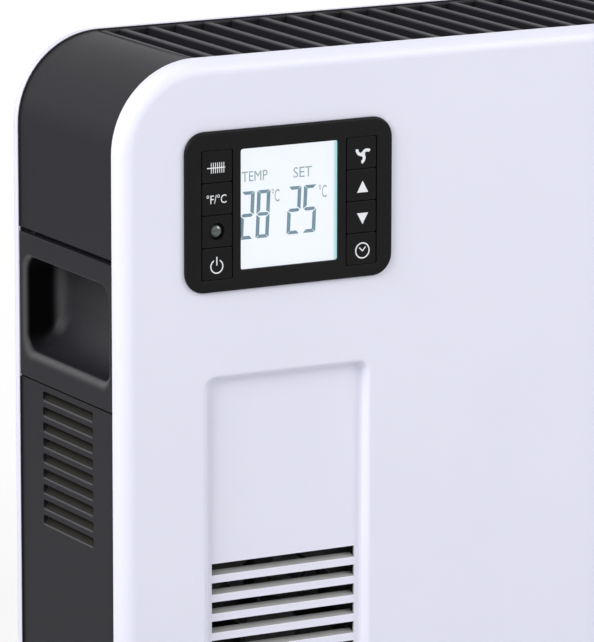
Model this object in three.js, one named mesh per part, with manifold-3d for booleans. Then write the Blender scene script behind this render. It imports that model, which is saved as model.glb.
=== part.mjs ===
// Wall panel convector heater: white steel front and back pans on a black moulded frame, with a
// backlit control panel, a finned hot-air outlet on top, a finger cup and louvres in each side,
// and two pressed, louvred fan outlets low on the front.
// Millimetres. X runs left to right as seen from the front, Y from front to back, Z up.
// The origin is the middle of the footprint, on the surface that the heater stands on.
import * as THREE from "three";
import { mergeVertices } from "three/addons/utils/BufferGeometryUtils.js";
import Module from "manifold-3d";

const wasm = await Module();
wasm.setup();

// ---------------------------------------------------------------- driving dimensions

// Body
const WIDTH = 640;
const HEIGHT = 400;
const DEPTH = 124; // flat front face to flat back face
const CORNER_RADIUS = 46;
const SHEET = 1.2; // sheet steel
const GAP = 0.3; // assembly clearance between neighbouring pieces
const CUT = 1; // cutting shapes run this far past what they cut

// White pans
const FRONT_RIM = 9;
const FRONT_FILLET = 8;
const BACK_RIM = 8.4;
const BACK_FILLET = 5;

// Black frame between the pans
const FRAME_WALL = 2.5;
const FRAME_INSET = 0.8; // frame surface inside the pans' outline
const TONGUE_LENGTH = 2.5;
const TONGUE_INSET = 2; // tongues reach into the pans
const GRIP_TOP = 102.5; // below the top of the body
const GRIP_HEIGHT = 74.5;
const GRIP_GROOVE = 2.5; // shadow groove above the grip
const GRIP_PROUD = 0.6;
const LIP_WALL = 1.5; // lip that laps behind the upper cheek
const LIP_LAP = 8;
const LIP_ROOT = 4;
const LIP_SETBACK = 4; // lip ends short of the frame's edges

// Finger cup in each grip
const CUP_FRONT_MARGIN = 5;
const CUP_BACK_MARGIN = 10.6;
const CUP_TOP_MARGIN = 12;
const CUP_BOTTOM_MARGIN = 14.5;
const CUP_DEPTH = 21;
const CUP_CORNER = 9;
const CUP_WALL = 2;
const CUP_MOUTH = 1.6; // rounded edge of the mouth
const CUP_DRAFT = 2; // of the walls, over their height
const CUP_FLOOR_ROUND = 5; // up the walls
const CUP_FLOOR_SPREAD = 7; // across the floor

// Louvres in each lower cheek
const LOUVRE_COUNT = 9;
const LOUVRE_PITCH = 8.15;
const LOUVRE_HEIGHT = 4.4;
const LOUVRE_LENGTH = 56;
const LOUVRE_FRONT_MARGIN = 22.6;
const LOUVRE_TOP_MARGIN = 4;
const VANE = 1.2;
const VANE_REACH = 5;
const VANE_SINK = 0.4; // vane edge behind the cheek's face

// Top outlet grille
const GRILLE_MARGIN = 0.5; // from the end of the corner arc
const GRILLE_RAIL = 3; // rails along the edges, which the fins span between
const FIRST_FIN = 12.9; // from the grille's end
const FIN_COUNT = 33;
const FIN_WIDTH = 4.6;
const FIN_FOOT = 2.6; // width at the lower edge
const FIN_DEPTH = 14;
const FIN_ROUND = 0.9;

// Bottom tray
const TRAY_WALL = 3.3;
const TRAY_SLOTS = 16;
const TRAY_SLOT_WIDTH = 11;
const TRAY_SLOT_LENGTH = 64;
const TRAY_SLOT_SHIFT = 6; // towards the front
const FOOT_FROM_END = 68.5; // pads where feet could be screwed on, from the tray's end
const FOOT_PAD = 40;
const FOOT_HOLE = 1.8; // radius
const FOOT_HOLE_SPACING = 50;
const GLAND_FROM_END = 27.5; // right end of the tray
const GLAND_Y = 30;
const GLAND_FLANGE = 9; // radius
const GLAND_BODY = 6; // radius
const GLAND_BORE = 3.4; // radius
const GLAND_SINK = 1.6; // counterbore in the tray
const GLAND_HEIGHT = 22;

// Pressed recess with the fan outlet slots, one at each side of the front pan
const OUTLET_FROM_SIDE = 95; // centre line, from the body's side
const SLOT_WIDTH = 82.6;
const SLOT_HEIGHT = 6;
const SLOT_PITCH = 10.07;
const SLOT_COUNT = 9;
const SLOT_TOP = 259.7; // below the top of the body
const RECESS_TOP = 162.1; // below the top of the body
const RECESS_MARGIN = 5.9; // beside the slots
const RECESS_FOOT = 7.7; // below the slots
const RECESS_DEPTH = 4.6;
const RECESS_DRAFT = 2.5;
const RECESS_CORNER = 6;
const TAB_REACH = 6.5;
const TAB_TILT = 18; // degrees

// Control panel
const BEZEL_WIDTH = 118.5;
const BEZEL_HEIGHT = 82;
const BEZEL_TOP = 36; // below the top of the body
const BEZEL_PROUD = 2;
const BEZEL_CORNER = 11;
const BEZEL_EDGE = 1.2; // rounded front edge
const BEZEL_FLANGE = 3; // rests on the pan round the cut-out
const BEZEL_PLATE = 7; // face to the back of the key plate
const SKIRT_WALL = 1.8;
const SKIRT_LENGTH = 15;
const WINDOW_WIDTH = 55.6;
const WINDOW_HEIGHT = 61.5;
const WINDOW_LIP = 1.4;
const WINDOW_REBATE = 1.7;
const GLASS = 1.2;
const DISPLAY_DEPTH = 3;
const KEY_MARGIN = 9; // bezel edge to a key column
const KEY_TOP_MARGIN = 9.6;
const KEY_WIDTH = 18; // of the column
const KEY_PITCH = 16.5;
const KEY_ROWS = 4;
const KEY_SINK = 0.15; // key faces behind the bezel's face
const KEY_EDGE = 0.5; // chamfer round a key's face
const KEY_CORNER = 1;
const KEY_TRAVEL = 0.6;
const CATCH_REACH = 0.8; // catches hold a key behind the key plate
const CATCH_THICKNESS = 1;
const STEM_RADIUS = 2.5;
const LENS_RADIUS = 4;
const BOARD = 1.6; // circuit board thickness
const BOARD_MARGIN = 0.6;
const SWITCH = [6, 1.8, 6]; // X, Y, Z
const PLUNGER_RADIUS = 1.7;
const PLUNGER_HEIGHT = 2.6;
const CHIP = [18, 2.4, 18];
const SOCKET = [22, 7, 7];
const SOCKET_RISE = 10; // above the board's lower edge
const SOCKET_SHIFT = 30; // left of the board's middle

// Fans behind the outlets
const COLLAR_MARGIN = 1.2; // duct collar beyond the slots
const COLLAR_WALL = 2.5;
const COLLAR_DEPTH = 9;
const BARREL_WALL = 2;
const BARREL_LENGTH = 27;
const TIP_CLEARANCE = 2;
const ARM_WIDTH = 6;
const ARM_DEPTH = 3;
const POST_RADIUS = 3.5;
const HUB_RADIUS = 17;
const HUB_WALL = 2;
const HUB_SETBACK = 4; // behind the orifice plate
const SLEEVE_RADIUS = 4;
const BLADE_COUNT = 7;
const BLADE_THICKNESS = 1.6;
const BLADE_CHORD = 16; // along the axis
const BLADE_ROOT_ANGLE = 52; // degrees
const BLADE_TIP_ANGLE = 28;
const MOTOR_RADIUS = 18;
const MOTOR_LENGTH = 18;
const SHAFT_RADIUS = 1.5;

// Sheet chassis
const CHASSIS_DEPTH = 29; // from the back face to its front
const CHASSIS_SIDE = 30; // from the body's side to its flange
const CHASSIS_FLANGE = 18;
const CHASSIS_BOTTOM = 30;
const CHASSIS_TOP = 100; // below the top of the body

// Heating elements
const ELEMENT_HEIGHTS = [95, 150];
const ELEMENT_SETBACK = 34; // in front of the chassis
const ELEMENT_TUBE = 5; // radius
const ELEMENT_END = 6; // tube beyond the bracket
const PLATE_COUNT = 16;
const PLATE = [1, 46, 40]; // X, Y, Z of one heat fin
const PLATE_MARGIN = 8; // first heat fin to bracket
const BUSH_RADIUS = 7.5;
const BUSH_FLANGE = 3;
const BUSH_REACH = 3; // to each side of the bracket
const BRACKET_MARGIN = 10; // from the fan shroud
const BRACKET_FRONT = 30; // in front of the element
const BRACKET_RISE = 32; // above and below the elements
const BRACKET_FLANGE = 16;

// Electrical pieces on the chassis
const POWER_BOARD = [80, BOARD, 90];
const POWER_BOARD_TOP = 138; // below the top of the body
const STANDOFF = 10;
const STANDOFF_RADIUS = 3;
const STANDOFF_INSET = 5;
const RELAY = [15, 15, 20];
const RELAY_COUNT = 3;
const RELAY_PITCH = 20;
const RELAY_TOP = 14; // below the board's upper edge
const TRANSFORMER = [28, 20, 26];
const TRANSFORMER_RISE = 14;
const CAPACITOR_RADIUS = 7;
const CAPACITOR_HEIGHT = 18;
const PART_INSET = 6; // board edge to its components
const CUTOUT_Z = 205;
const CUTOUT_BASE = [40, 1.5, 18];
const CUTOUT_RADIUS = 8;
const CUTOUT_HEIGHT = 10;
const CUTOUT_TAB = [1.2, 15, 6];
const TERMINALS = [48, 16, 20];
const TERMINALS_FROM_WALL = 52; // right wall of the chassis
const TERMINALS_Z = 186;
const TERMINAL_COUNT = 3;
const TERMINAL_PITCH = 15;
const TERMINAL_BORE = 3; // radius
const SENSOR_DROP = 29.4; // below the lowest louvre
const SENSOR_BASE = [2, 18, 16];
const SENSOR_POST = [6, 6, 6];
const SENSOR_BEAD = 2; // radius
const SENSOR_REACH = 15;

// Back panel
const KEYHOLE_X = 200;
const KEYHOLE_Z = 330;
const KEYHOLE_HEAD = 5; // radius
const KEYHOLE_NECK = 2.5; // radius
const KEYHOLE_RISE = 12;
const INLET_COLUMNS = 4;
const INLET_ROWS = 4;
const INLET_SPACING = 110;
const INLET_PITCH = 14;
const INLET_SLOT = [80, 5]; // X, Z
const INLET_BOTTOM = 48;

// Back screws, their dimples, and the bosses that take them
const SCREW_INSET = 12; // from the body's outline
const SCREW_FROM_END = 70; // side screws, from the top and the bottom
const DIMPLE_RADIUS = 6;
const DIMPLE_DEPTH = 3;
const HEAD_RADIUS = 3.7;
const HEAD_HEIGHT = 2.2;
const SHANK_RADIUS = 1.7;
const SHANK_LENGTH = 12;
const BOSS_RADIUS = 4.5;
const BOSS_LENGTH = 34;
const BOSS_WEB = 2;

// ---------------------------------------------------------------- places that follow from them

const SIDE_X = WIDTH / 2;
const BEZEL_FACE = -(DEPTH + BEZEL_PROUD) / 2;
const FRONT_Y = BEZEL_FACE + BEZEL_PROUD;
const BACK_Y = FRONT_Y + DEPTH;
const FRAME_FRONT = FRONT_Y + FRONT_RIM + GAP;
const FRAME_BACK = BACK_Y - BACK_RIM - GAP;
const FRAME_INNER = FRAME_INSET + FRAME_WALL;
const GRILLE_HALF = SIDE_X - CORNER_RADIUS - GRILLE_MARGIN;
const GRILLE_TOP = HEIGHT - FRAME_INSET;
const GRIP_Z1 = HEIGHT - GRIP_TOP;
const GRIP_Z0 = GRIP_Z1 - GRIP_HEIGHT;
const FOOT_X = GRILLE_HALF - FOOT_FROM_END;
const GLAND_X = GRILLE_HALF - GLAND_FROM_END;

const OUTLET_X = OUTLET_FROM_SIDE - SIDE_X;
const FLOOR_Y = FRONT_Y + RECESS_DEPTH;
const SLOT_Z = HEIGHT - SLOT_TOP;
const SLOTS_BOTTOM = SLOT_Z - (SLOT_COUNT - 1) * SLOT_PITCH - SLOT_HEIGHT;
const FAN_Z = (SLOT_Z + SLOTS_BOTTOM) / 2;

const BEZEL_Z1 = HEIGHT - BEZEL_TOP;
const BEZEL_Z0 = BEZEL_Z1 - BEZEL_HEIGHT;
const BEZEL_X0 = OUTLET_X - BEZEL_WIDTH / 2;
const BEZEL_X1 = OUTLET_X + BEZEL_WIDTH / 2;
const BEZEL_MID_Z = (BEZEL_Z0 + BEZEL_Z1) / 2;
const PLATE_BACK = BEZEL_FACE + BEZEL_PLATE;
const SKIRT_BACK = BEZEL_FACE + SKIRT_LENGTH;
const BOARD_FRONT = SKIRT_BACK + GAP;

const CHASSIS_Y = BACK_Y - CHASSIS_DEPTH;
const CHASSIS_SEAT = CHASSIS_Y - GAP; // where pieces stand on the chassis
const CHASSIS_WALL = SIDE_X - CHASSIS_SIDE - CHASSIS_FLANGE;
const TERMINALS_X = CHASSIS_WALL - TERMINALS_FROM_WALL;
const ELEMENT_Y = CHASSIS_Y - ELEMENT_SETBACK;
const COLLAR_X = SLOT_WIDTH / 2 + COLLAR_MARGIN;
const COLLAR_Z = (SLOT_Z - SLOTS_BOTTOM) / 2 + COLLAR_MARGIN + SHEET;
const COLLAR_FRONT = FLOOR_Y + SHEET + GAP;
const ORIFICE_Y = COLLAR_FRONT + COLLAR_DEPTH;
const BARREL_BACK = ORIFICE_Y + BARREL_LENGTH;
const BARREL_RADIUS = Math.min(COLLAR_X, COLLAR_Z);
const TIP_RADIUS = BARREL_RADIUS - TIP_CLEARANCE;
const HUB_FRONT = ORIFICE_Y + HUB_SETBACK;
const HUB_BACK = HUB_FRONT + BLADE_CHORD;
const BRACKET_X = -OUTLET_X - COLLAR_X - COLLAR_WALL - BRACKET_MARGIN;
const DIMPLE_FLOOR = BACK_Y - DIMPLE_DEPTH;
const BOSS_BACK = DIMPLE_FLOOR - SHEET - GAP;

// ---------------------------------------------------------------- finishes

function finish(color, roughness, metalness = 0) {
  return new THREE.MeshStandardMaterial({ color, roughness, metalness });
}
const WHITE_PAINT = finish(0xe3e2ee, 0.35);
const BLACK_PLASTIC = finish(0x232326, 0.5);
const PANEL_BLACK = finish(0x1b1b1c, 0.38);
const KEY_BLACK = finish(0x1d1d1f, 0.42);
const GREY_PLASTIC = finish(0x3a3b3e, 0.6);
const CLEAR_PLASTIC = finish(0xf2fbff, 0.05);
CLEAR_PLASTIC.transparent = true;
CLEAR_PLASTIC.opacity = 0.3;
const DISPLAY = finish(0xf4fbff, 0.3);
const SMOKED_PLASTIC = finish(0x4c5a57, 0.1);
const BOARD_GREEN = finish(0x2f6b45, 0.55);
const ALUMINIUM = finish(0xb9bcc0, 0.35, 0.9);
const GALVANISED = finish(0x9fa4a8, 0.45, 0.8);
const CERAMIC = finish(0xe9e4d8, 0.6);
const ZINC = finish(0xb6b8bb, 0.35, 0.85);

// ---------------------------------------------------------------- solids

const radians = THREE.MathUtils.degToRad;

// A closed geometry as a solid that can be joined and cut.
function solid(geometry) {
  const bare = new THREE.BufferGeometry();
  bare.setAttribute("position", geometry.getAttribute("position"));
  if (geometry.index) bare.setIndex(geometry.index);
  const merged = mergeVertices(bare, 1e-4);
  return new wasm.Manifold(
    new wasm.Mesh({
      numProp: 3,
      vertProperties: new Float32Array(merged.attributes.position.array),
      triVerts: new Uint32Array(merged.index.array),
    }),
  );
}

function geometryOf(shape) {
  const mesh = shape.getMesh();
  const geometry = new THREE.BufferGeometry();
  geometry.setAttribute("position", new THREE.BufferAttribute(mesh.vertProperties, 3));
  geometry.setIndex(new THREE.BufferAttribute(mesh.triVerts, 1));
  return geometry;
}

function join(...shapes) {
  return shapes.reduce((whole, shape) => whole.add(shape));
}

// A solid seen in a mirror: the matrix swaps or flips axes, so the faces are turned round too.
function reflected(shape, matrix) {
  const geometry = geometryOf(shape).applyMatrix4(matrix);
  geometry.index.array.reverse();
  return solid(geometry);
}

// The mirror image on the other side of the body.
function mirrored(shape) {
  return reflected(shape, new THREE.Matrix4().makeScale(-1, 1, 1));
}

// A block between two limits along each axis.
function block([x0, x1], [y0, y1], [z0, z1]) {
  const box = new THREE.BoxGeometry(x1 - x0, y1 - y0, z1 - z0);
  return solid(box.translate((x0 + x1) / 2, (y0 + y1) / 2, (z0 + z1) / 2));
}

// Limits of a length about a middle.
function about(middle, length) {
  return [middle - length / 2, middle + length / 2];
}

// Corner outlines run counter-clockwise.
function arc(u, v, radius, start, steps) {
  const points = [];
  for (let i = 0; i <= steps; i++) {
    const angle = radians(start + (90 * i) / steps);
    points.push(new THREE.Vector2(u + radius * Math.cos(angle), v + radius * Math.sin(angle)));
  }
  return points;
}

function roundedOutline([u0, u1], [v0, v1], radius, steps) {
  return [
    ...arc(u1 - radius, v1 - radius, radius, 0, steps),
    ...arc(u0 + radius, v1 - radius, radius, 90, steps),
    ...arc(u0 + radius, v0 + radius, radius, 180, steps),
    ...arc(u1 - radius, v0 + radius, radius, 270, steps),
  ];
}

function circle(u, v, radius, sides) {
  const points = [];
  for (let i = 0; i < sides; i++) {
    const angle = (2 * Math.PI * i) / sides;
    points.push(new THREE.Vector2(u + radius * Math.cos(angle), v + radius * Math.sin(angle)));
  }
  return points;
}

function polygon(...corners) {
  return corners.map(([u, v]) => new THREE.Vector2(u, v));
}

function extrude(points, depth, holes) {
  const shape = new THREE.Shape(points);
  shape.holes = holes.map((hole) => new THREE.Path(hole));
  return new THREE.ExtrudeGeometry(shape, { depth, bevelEnabled: false });
}

// An outline in X and Y, run along Z.
function prismZ(points, [z0, z1], holes = []) {
  return solid(extrude(points, z1 - z0, holes).translate(0, 0, z0));
}

// An outline in X and Z, run along Y.
function prismY(points, [y0, y1], holes = []) {
  return solid(extrude(points, y1 - y0, holes).rotateX(Math.PI / 2).translate(0, y1, 0));
}

// An outline in Y and Z, run along X.
function prismX(points, [x0, x1], holes = []) {
  const turn = new THREE.Matrix4().makeBasis(
    new THREE.Vector3(0, 1, 0),
    new THREE.Vector3(0, 0, 1),
    new THREE.Vector3(1, 0, 0),
  );
  return solid(extrude(points, x1 - x0, holes).applyMatrix4(turn).translate(x0, 0, 0));
}

function rodX(y, z, radius, span, sides) {
  return prismX(circle(y, z, radius, sides), span);
}

function rodY(x, z, radius, span, sides) {
  return prismY(circle(x, z, radius, sides), span);
}

function rodZ(x, y, radius, span, sides) {
  return prismZ(circle(x, y, radius, sides), span);
}

// A skin through outlines of equal point count, drawn in X and Z, at rising y.
function loftY(rings) {
  const count = rings[0].points.length;
  const last = (rings.length - 1) * count;
  const positions = [];
  for (const { y, points } of rings) for (const p of points) positions.push(p.x, y, p.y);
  const index = [];
  for (let r = 0; r < last; r += count)
    for (let i = 0; i < count; i++) {
      const a = r + i;
      const b = r + ((i + 1) % count);
      index.push(a, a + count, b, b, a + count, b + count);
    }
  const cap = THREE.ShapeUtils.triangulateShape(rings[0].points, []);
  for (const [a, b, c] of cap) index.push(a, b, c, last + c, last + b, last + a);
  const geometry = new THREE.BufferGeometry();
  geometry.setAttribute("position", new THREE.Float32BufferAttribute(positions, 3));
  geometry.setIndex(index);
  return solid(geometry);
}

// The same with outlines drawn in Y and Z, at rising x.
function loftX(rings) {
  const swapXY = new THREE.Matrix4().makeBasis(
    new THREE.Vector3(0, 1, 0),
    new THREE.Vector3(1, 0, 0),
    new THREE.Vector3(0, 0, 1),
  );
  const turned = rings.map(({ x, points }) => ({ y: x, points }));
  return reflected(loftY(turned), swapXY);
}

// The body's rounded outline, drawn in by an inset.
function bodyOutline(inset) {
  const radius = CORNER_RADIUS - inset;
  return roundedOutline([inset - SIDE_X, SIDE_X - inset], [inset, HEIGHT - inset], radius, 6);
}

// ---------------------------------------------------------------- white pans

// A block with a straight rim and a quarter-round edge into its flat face. Direction is 1 where
// the body lies behind the face and -1 where it lies in front of it.
function dish(face, direction, rim, fillet, inset) {
  const stepCount = 3;
  const rings = [];
  for (let i = stepCount; i >= 0; i--) {
    const angle = radians((90 * i) / stepCount);
    rings.push({
      y: face + direction * fillet * (1 - Math.sin(angle)),
      points: bodyOutline(inset + fillet * (1 - Math.cos(angle))),
    });
  }
  rings.push({ y: face + direction * rim, points: bodyOutline(inset) });
  return loftY(direction > 0 ? rings : rings.reverse());
}

function pan(face, direction, rim, fillet) {
  const inner = dish(face + direction * SHEET, direction, rim, fillet - SHEET, SHEET);
  return dish(face, direction, rim, fillet, 0).subtract(inner);
}

function recessOutline(inset) {
  const width = SLOT_WIDTH + 2 * (RECESS_MARGIN - inset);
  const heights = [SLOTS_BOTTOM - RECESS_FOOT + inset, HEIGHT - RECESS_TOP - inset];
  return roundedOutline(about(OUTLET_X, width), heights, RECESS_CORNER, 3);
}

// The recess as a drafted block from y0 to its floor, its skin moved out by a sheet's thickness.
function recessBlock(y0, skin) {
  return loftY([
    { y: y0, points: recessOutline(-skin) },
    { y: FRONT_Y + skin, points: recessOutline(-skin) },
    { y: FLOOR_Y + skin, points: recessOutline(RECESS_DRAFT - skin) },
  ]);
}

// Lower edge of outlet slot i.
function slotFoot(i) {
  return SLOT_Z - i * SLOT_PITCH - SLOT_HEIGHT;
}

function outletSlot(i) {
  const through = [FLOOR_Y - CUT, FLOOR_Y + SHEET + CUT];
  return block(about(OUTLET_X, SLOT_WIDTH), through, [slotFoot(i), slotFoot(i) + SLOT_HEIGHT]);
}

// The tongue of sheet lanced out of slot i and bent in and up from its lower edge.
function slotTab(i) {
  const foot = slotFoot(i);
  const root = FLOOR_Y + SHEET / 4;
  const end = FLOOR_Y + TAB_REACH * Math.cos(radians(TAB_TILT));
  const rise = TAB_REACH * Math.sin(radians(TAB_TILT));
  const outline = polygon(
    [root, foot - SHEET],
    [root + SHEET, foot - SHEET],
    [end, foot + rise - SHEET],
    [end, foot + rise],
    [root, foot],
  );
  return prismX(outline, about(OUTLET_X, SLOT_WIDTH));
}

function frontPanel() {
  const slots = [];
  const tabs = [];
  for (let i = 0; i < SLOT_COUNT; i++) {
    slots.push(outletSlot(i));
    tabs.push(slotTab(i));
  }
  const tub = recessBlock(FRONT_Y + SHEET / 2, SHEET);
  const hollow = recessBlock(FRONT_Y - CUT, 0).add(join(...slots));
  const vanes = join(...tabs);
  const panelHole = prismY(bezelOutline(BEZEL_FLANGE), [FRONT_Y - CUT, FRONT_Y + SHEET + CUT]);
  return pan(FRONT_Y, 1, FRONT_RIM, FRONT_FILLET)
    .add(tub)
    .add(mirrored(tub))
    .subtract(hollow)
    .subtract(mirrored(hollow))
    .add(vanes)
    .add(mirrored(vanes))
    .subtract(panelHole);
}

// Back screws by name and place. The first two pairs enter the cheeks, the others the grille and tray.
const SCREWS = {
  upper_left: [SCREW_INSET - SIDE_X, HEIGHT - SCREW_FROM_END],
  upper_right: [SIDE_X - SCREW_INSET, HEIGHT - SCREW_FROM_END],
  lower_left: [SCREW_INSET - SIDE_X, SCREW_FROM_END],
  lower_right: [SIDE_X - SCREW_INSET, SCREW_FROM_END],
  top: [0, HEIGHT - FIN_DEPTH - SCREW_INSET],
  bottom: [0, SCREW_INSET],
};

function backScrew([x, z]) {
  const seat = DIMPLE_FLOOR + GAP;
  const shank = rodY(x, z, SHANK_RADIUS, [seat - SHANK_LENGTH, seat + HEAD_HEIGHT / 2], 8);
  return rodY(x, z, HEAD_RADIUS, [seat, seat + HEAD_HEIGHT], 12).add(shank);
}

// A boss for a back screw, on a web that reaches the wall at a given x and z.
function screwBoss([x, z], [wallX, wallZ]) {
  const span = [BOSS_BACK - BOSS_LENGTH, BOSS_BACK];
  const across = wallX === x ? about(x, BOSS_WEB) : [Math.min(x, wallX), Math.max(x, wallX)];
  const along = wallZ === z ? about(z, BOSS_WEB) : [Math.min(z, wallZ), Math.max(z, wallZ)];
  return rodY(x, z, BOSS_RADIUS, span, 10)
    .add(block(across, span, along))
    .subtract(rodY(x, z, SHANK_RADIUS + GAP, [BOSS_BACK - SHANK_LENGTH, BOSS_BACK + CUT], 8));
}

const BACK_SHEET = [BACK_Y - SHEET - CUT, BACK_Y + CUT]; // span of cuts through the back sheet

function keyhole(x) {
  const slot = block(about(x, 2 * KEYHOLE_NECK), BACK_SHEET, [KEYHOLE_Z, KEYHOLE_Z + KEYHOLE_RISE]);
  return join(
    rodY(x, KEYHOLE_Z, KEYHOLE_HEAD, BACK_SHEET, 16),
    rodY(x, KEYHOLE_Z + KEYHOLE_RISE, KEYHOLE_NECK, BACK_SHEET, 12),
    slot,
  );
}

function inletSlots() {
  const [length, height] = INLET_SLOT;
  const slots = [];
  for (let c = 0; c < INLET_COLUMNS; c++)
    for (let r = 0; r < INLET_ROWS; r++) {
      const x = (c - (INLET_COLUMNS - 1) / 2) * INLET_SPACING;
      const z = INLET_BOTTOM + r * INLET_PITCH;
      slots.push(block(about(x, length), BACK_SHEET, [z, z + height]));
    }
  return join(...slots);
}

function backPanel() {
  let shape = pan(BACK_Y, -1, BACK_RIM, BACK_FILLET);
  for (const [x, z] of Object.values(SCREWS)) {
    const dimple = [DIMPLE_FLOOR - SHEET, BACK_Y - SHEET / 2];
    shape = shape
      .add(rodY(x, z, DIMPLE_RADIUS + SHEET, dimple, 12))
      .subtract(rodY(x, z, DIMPLE_RADIUS, [DIMPLE_FLOOR, BACK_Y + CUT], 12))
      .subtract(rodY(x, z, SHANK_RADIUS + GAP, [DIMPLE_FLOOR - SHEET - CUT, BACK_Y], 8));
  }
  return shape.subtract(inletSlots()).subtract(keyhole(-KEYHOLE_X)).subtract(keyhole(KEYHOLE_X));
}

// ---------------------------------------------------------------- black frame

// The whole ring round the body with the tongues that enter the pans.
function frameRing() {
  const holes = [bodyOutline(FRAME_INNER)];
  const tongue = bodyOutline(TONGUE_INSET);
  return join(
    prismY(bodyOutline(FRAME_INSET), [FRAME_FRONT, FRAME_BACK], holes),
    prismY(tongue, [FRAME_FRONT - TONGUE_LENGTH, FRAME_FRONT + CUT], holes),
    prismY(tongue, [FRAME_BACK - CUT, FRAME_BACK + TONGUE_LENGTH], holes),
  );
}
const RING = frameRing();
const FRAME_SPAN = [FRAME_FRONT, FRAME_BACK];
const CHEEK_X = [-SIDE_X - CUT, -GRILLE_HALF - GAP];

// The part of the ring between limits of X and Z.
function ringPart(across, heights) {
  return RING.intersect(block(across, [FRONT_Y, BACK_Y], heights));
}

// A boss on a web from the middle of the left side wall.
function sideBoss([x, z]) {
  return screwBoss([x, z], [FRAME_INSET + FRAME_WALL / 2 - SIDE_X, z]);
}

function upperCheek() {
  const shell = ringPart(CHEEK_X, [GRIP_Z1 + GRIP_GROOVE, HEIGHT + CUT]);
  return shell.add(sideBoss(SCREWS.upper_left));
}

// Y limits of the louvres.
const LOUVRE_SPAN = [
  FRAME_FRONT + LOUVRE_FRONT_MARGIN,
  FRAME_FRONT + LOUVRE_FRONT_MARGIN + LOUVRE_LENGTH,
];

// Upper edge of louvre i.
function louvreTop(i) {
  return GRIP_Z0 - LOUVRE_TOP_MARGIN - i * LOUVRE_PITCH;
}

function louvreSlot(i) {
  const through = [-SIDE_X - CUT, FRAME_INNER - SIDE_X + CUT];
  return block(through, LOUVRE_SPAN, [louvreTop(i) - LOUVRE_HEIGHT, louvreTop(i)]);
}

// Ramp that rises inwards from a louvre's lower edge, so that nothing drops straight in.
function louvreVane(i) {
  const foot = louvreTop(i) - LOUVRE_HEIGHT;
  const edge = FRAME_INSET + VANE_SINK - SIDE_X;
  const rise = VANE_REACH - VANE;
  const outline = polygon(
    [edge, foot - VANE],
    [edge + VANE, foot - VANE],
    [edge + VANE_REACH + VANE, foot - VANE + rise],
    [edge + VANE_REACH, foot + rise],
    [edge, foot],
  );
  return prismY(outline, LOUVRE_SPAN);
}

function lowerCheek() {
  const slots = [];
  const vanes = [];
  for (let i = 0; i < LOUVRE_COUNT; i++) {
    slots.push(louvreSlot(i));
    vanes.push(louvreVane(i));
  }
  return ringPart(CHEEK_X, [-CUT, GRIP_Z0 - GAP])
    .subtract(join(...slots))
    .add(join(...vanes))
    .add(sideBoss(SCREWS.lower_left));
}

function cupOutline(inset) {
  const depths = [FRAME_FRONT + CUP_FRONT_MARGIN + inset, FRAME_BACK - CUP_BACK_MARGIN - inset];
  const heights = [GRIP_Z0 + CUP_BOTTOM_MARGIN + inset, GRIP_Z1 - CUP_TOP_MARGIN - inset];
  return roundedOutline(depths, heights, CUP_CORNER + inset / 2, 3);
}

// Finger cup: a rounded mouth, drafted walls and a rounded floor, as inset and depth at each ring.
const CUP_PROFILE = [
  [-CUP_MOUTH, 0],
  [-CUP_MOUTH / 4, CUP_MOUTH / 3],
  [0, CUP_MOUTH],
  [CUP_DRAFT, CUP_DEPTH - CUP_FLOOR_ROUND],
  [CUP_DRAFT + CUP_FLOOR_SPREAD / 3, CUP_DEPTH - CUP_FLOOR_ROUND / 3],
  [CUP_DRAFT + CUP_FLOOR_SPREAD, CUP_DEPTH],
];

function cupSkin(outer, wall) {
  return CUP_PROFILE.map(([inset, depth]) => ({
    x: outer + depth + wall,
    points: cupOutline(inset - wall),
  }));
}

function grip() {
  const outer = FRAME_INSET - GRIP_PROUD - SIDE_X;
  const inner = FRAME_INNER - SIDE_X;
  const lipX = inner + GAP + LIP_WALL;
  const lipY = [FRAME_FRONT + LIP_SETBACK, FRAME_BACK - LIP_SETBACK];
  const hollow = cupSkin(outer, 0);
  hollow.unshift({ x: outer - CUT, points: hollow[0].points });
  return join(
    block([outer, inner], FRAME_SPAN, [GRIP_Z0, GRIP_Z1]),
    ringPart([-SIDE_X, 0], [GRIP_Z0, GRIP_Z1]),
    block([inner - CUT, lipX], lipY, [GRIP_Z1 - LIP_ROOT, GRIP_Z1]),
    block([inner + GAP, lipX], lipY, [GRIP_Z1 - LIP_ROOT, GRIP_Z1 + LIP_LAP]),
    loftX(cupSkin(outer, CUP_WALL).slice(1)),
  ).subtract(loftX(hollow));
}

// One fin of the top grille: tapered downwards, with rounded upper edges.
function grilleFin(x) {
  const half = FIN_WIDTH / 2;
  const outline = polygon(
    [x - FIN_FOOT / 2, GRILLE_TOP - FIN_DEPTH],
    [x + FIN_FOOT / 2, GRILLE_TOP - FIN_DEPTH],
    [x + half, GRILLE_TOP - FIN_ROUND],
    [x + half - FIN_ROUND, GRILLE_TOP],
    [x - half + FIN_ROUND, GRILLE_TOP],
    [x - half, GRILLE_TOP - FIN_ROUND],
  );
  return prismY(outline, [FRAME_FRONT + GRILLE_RAIL / 2, FRAME_BACK - GRILLE_RAIL / 2]);
}

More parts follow.
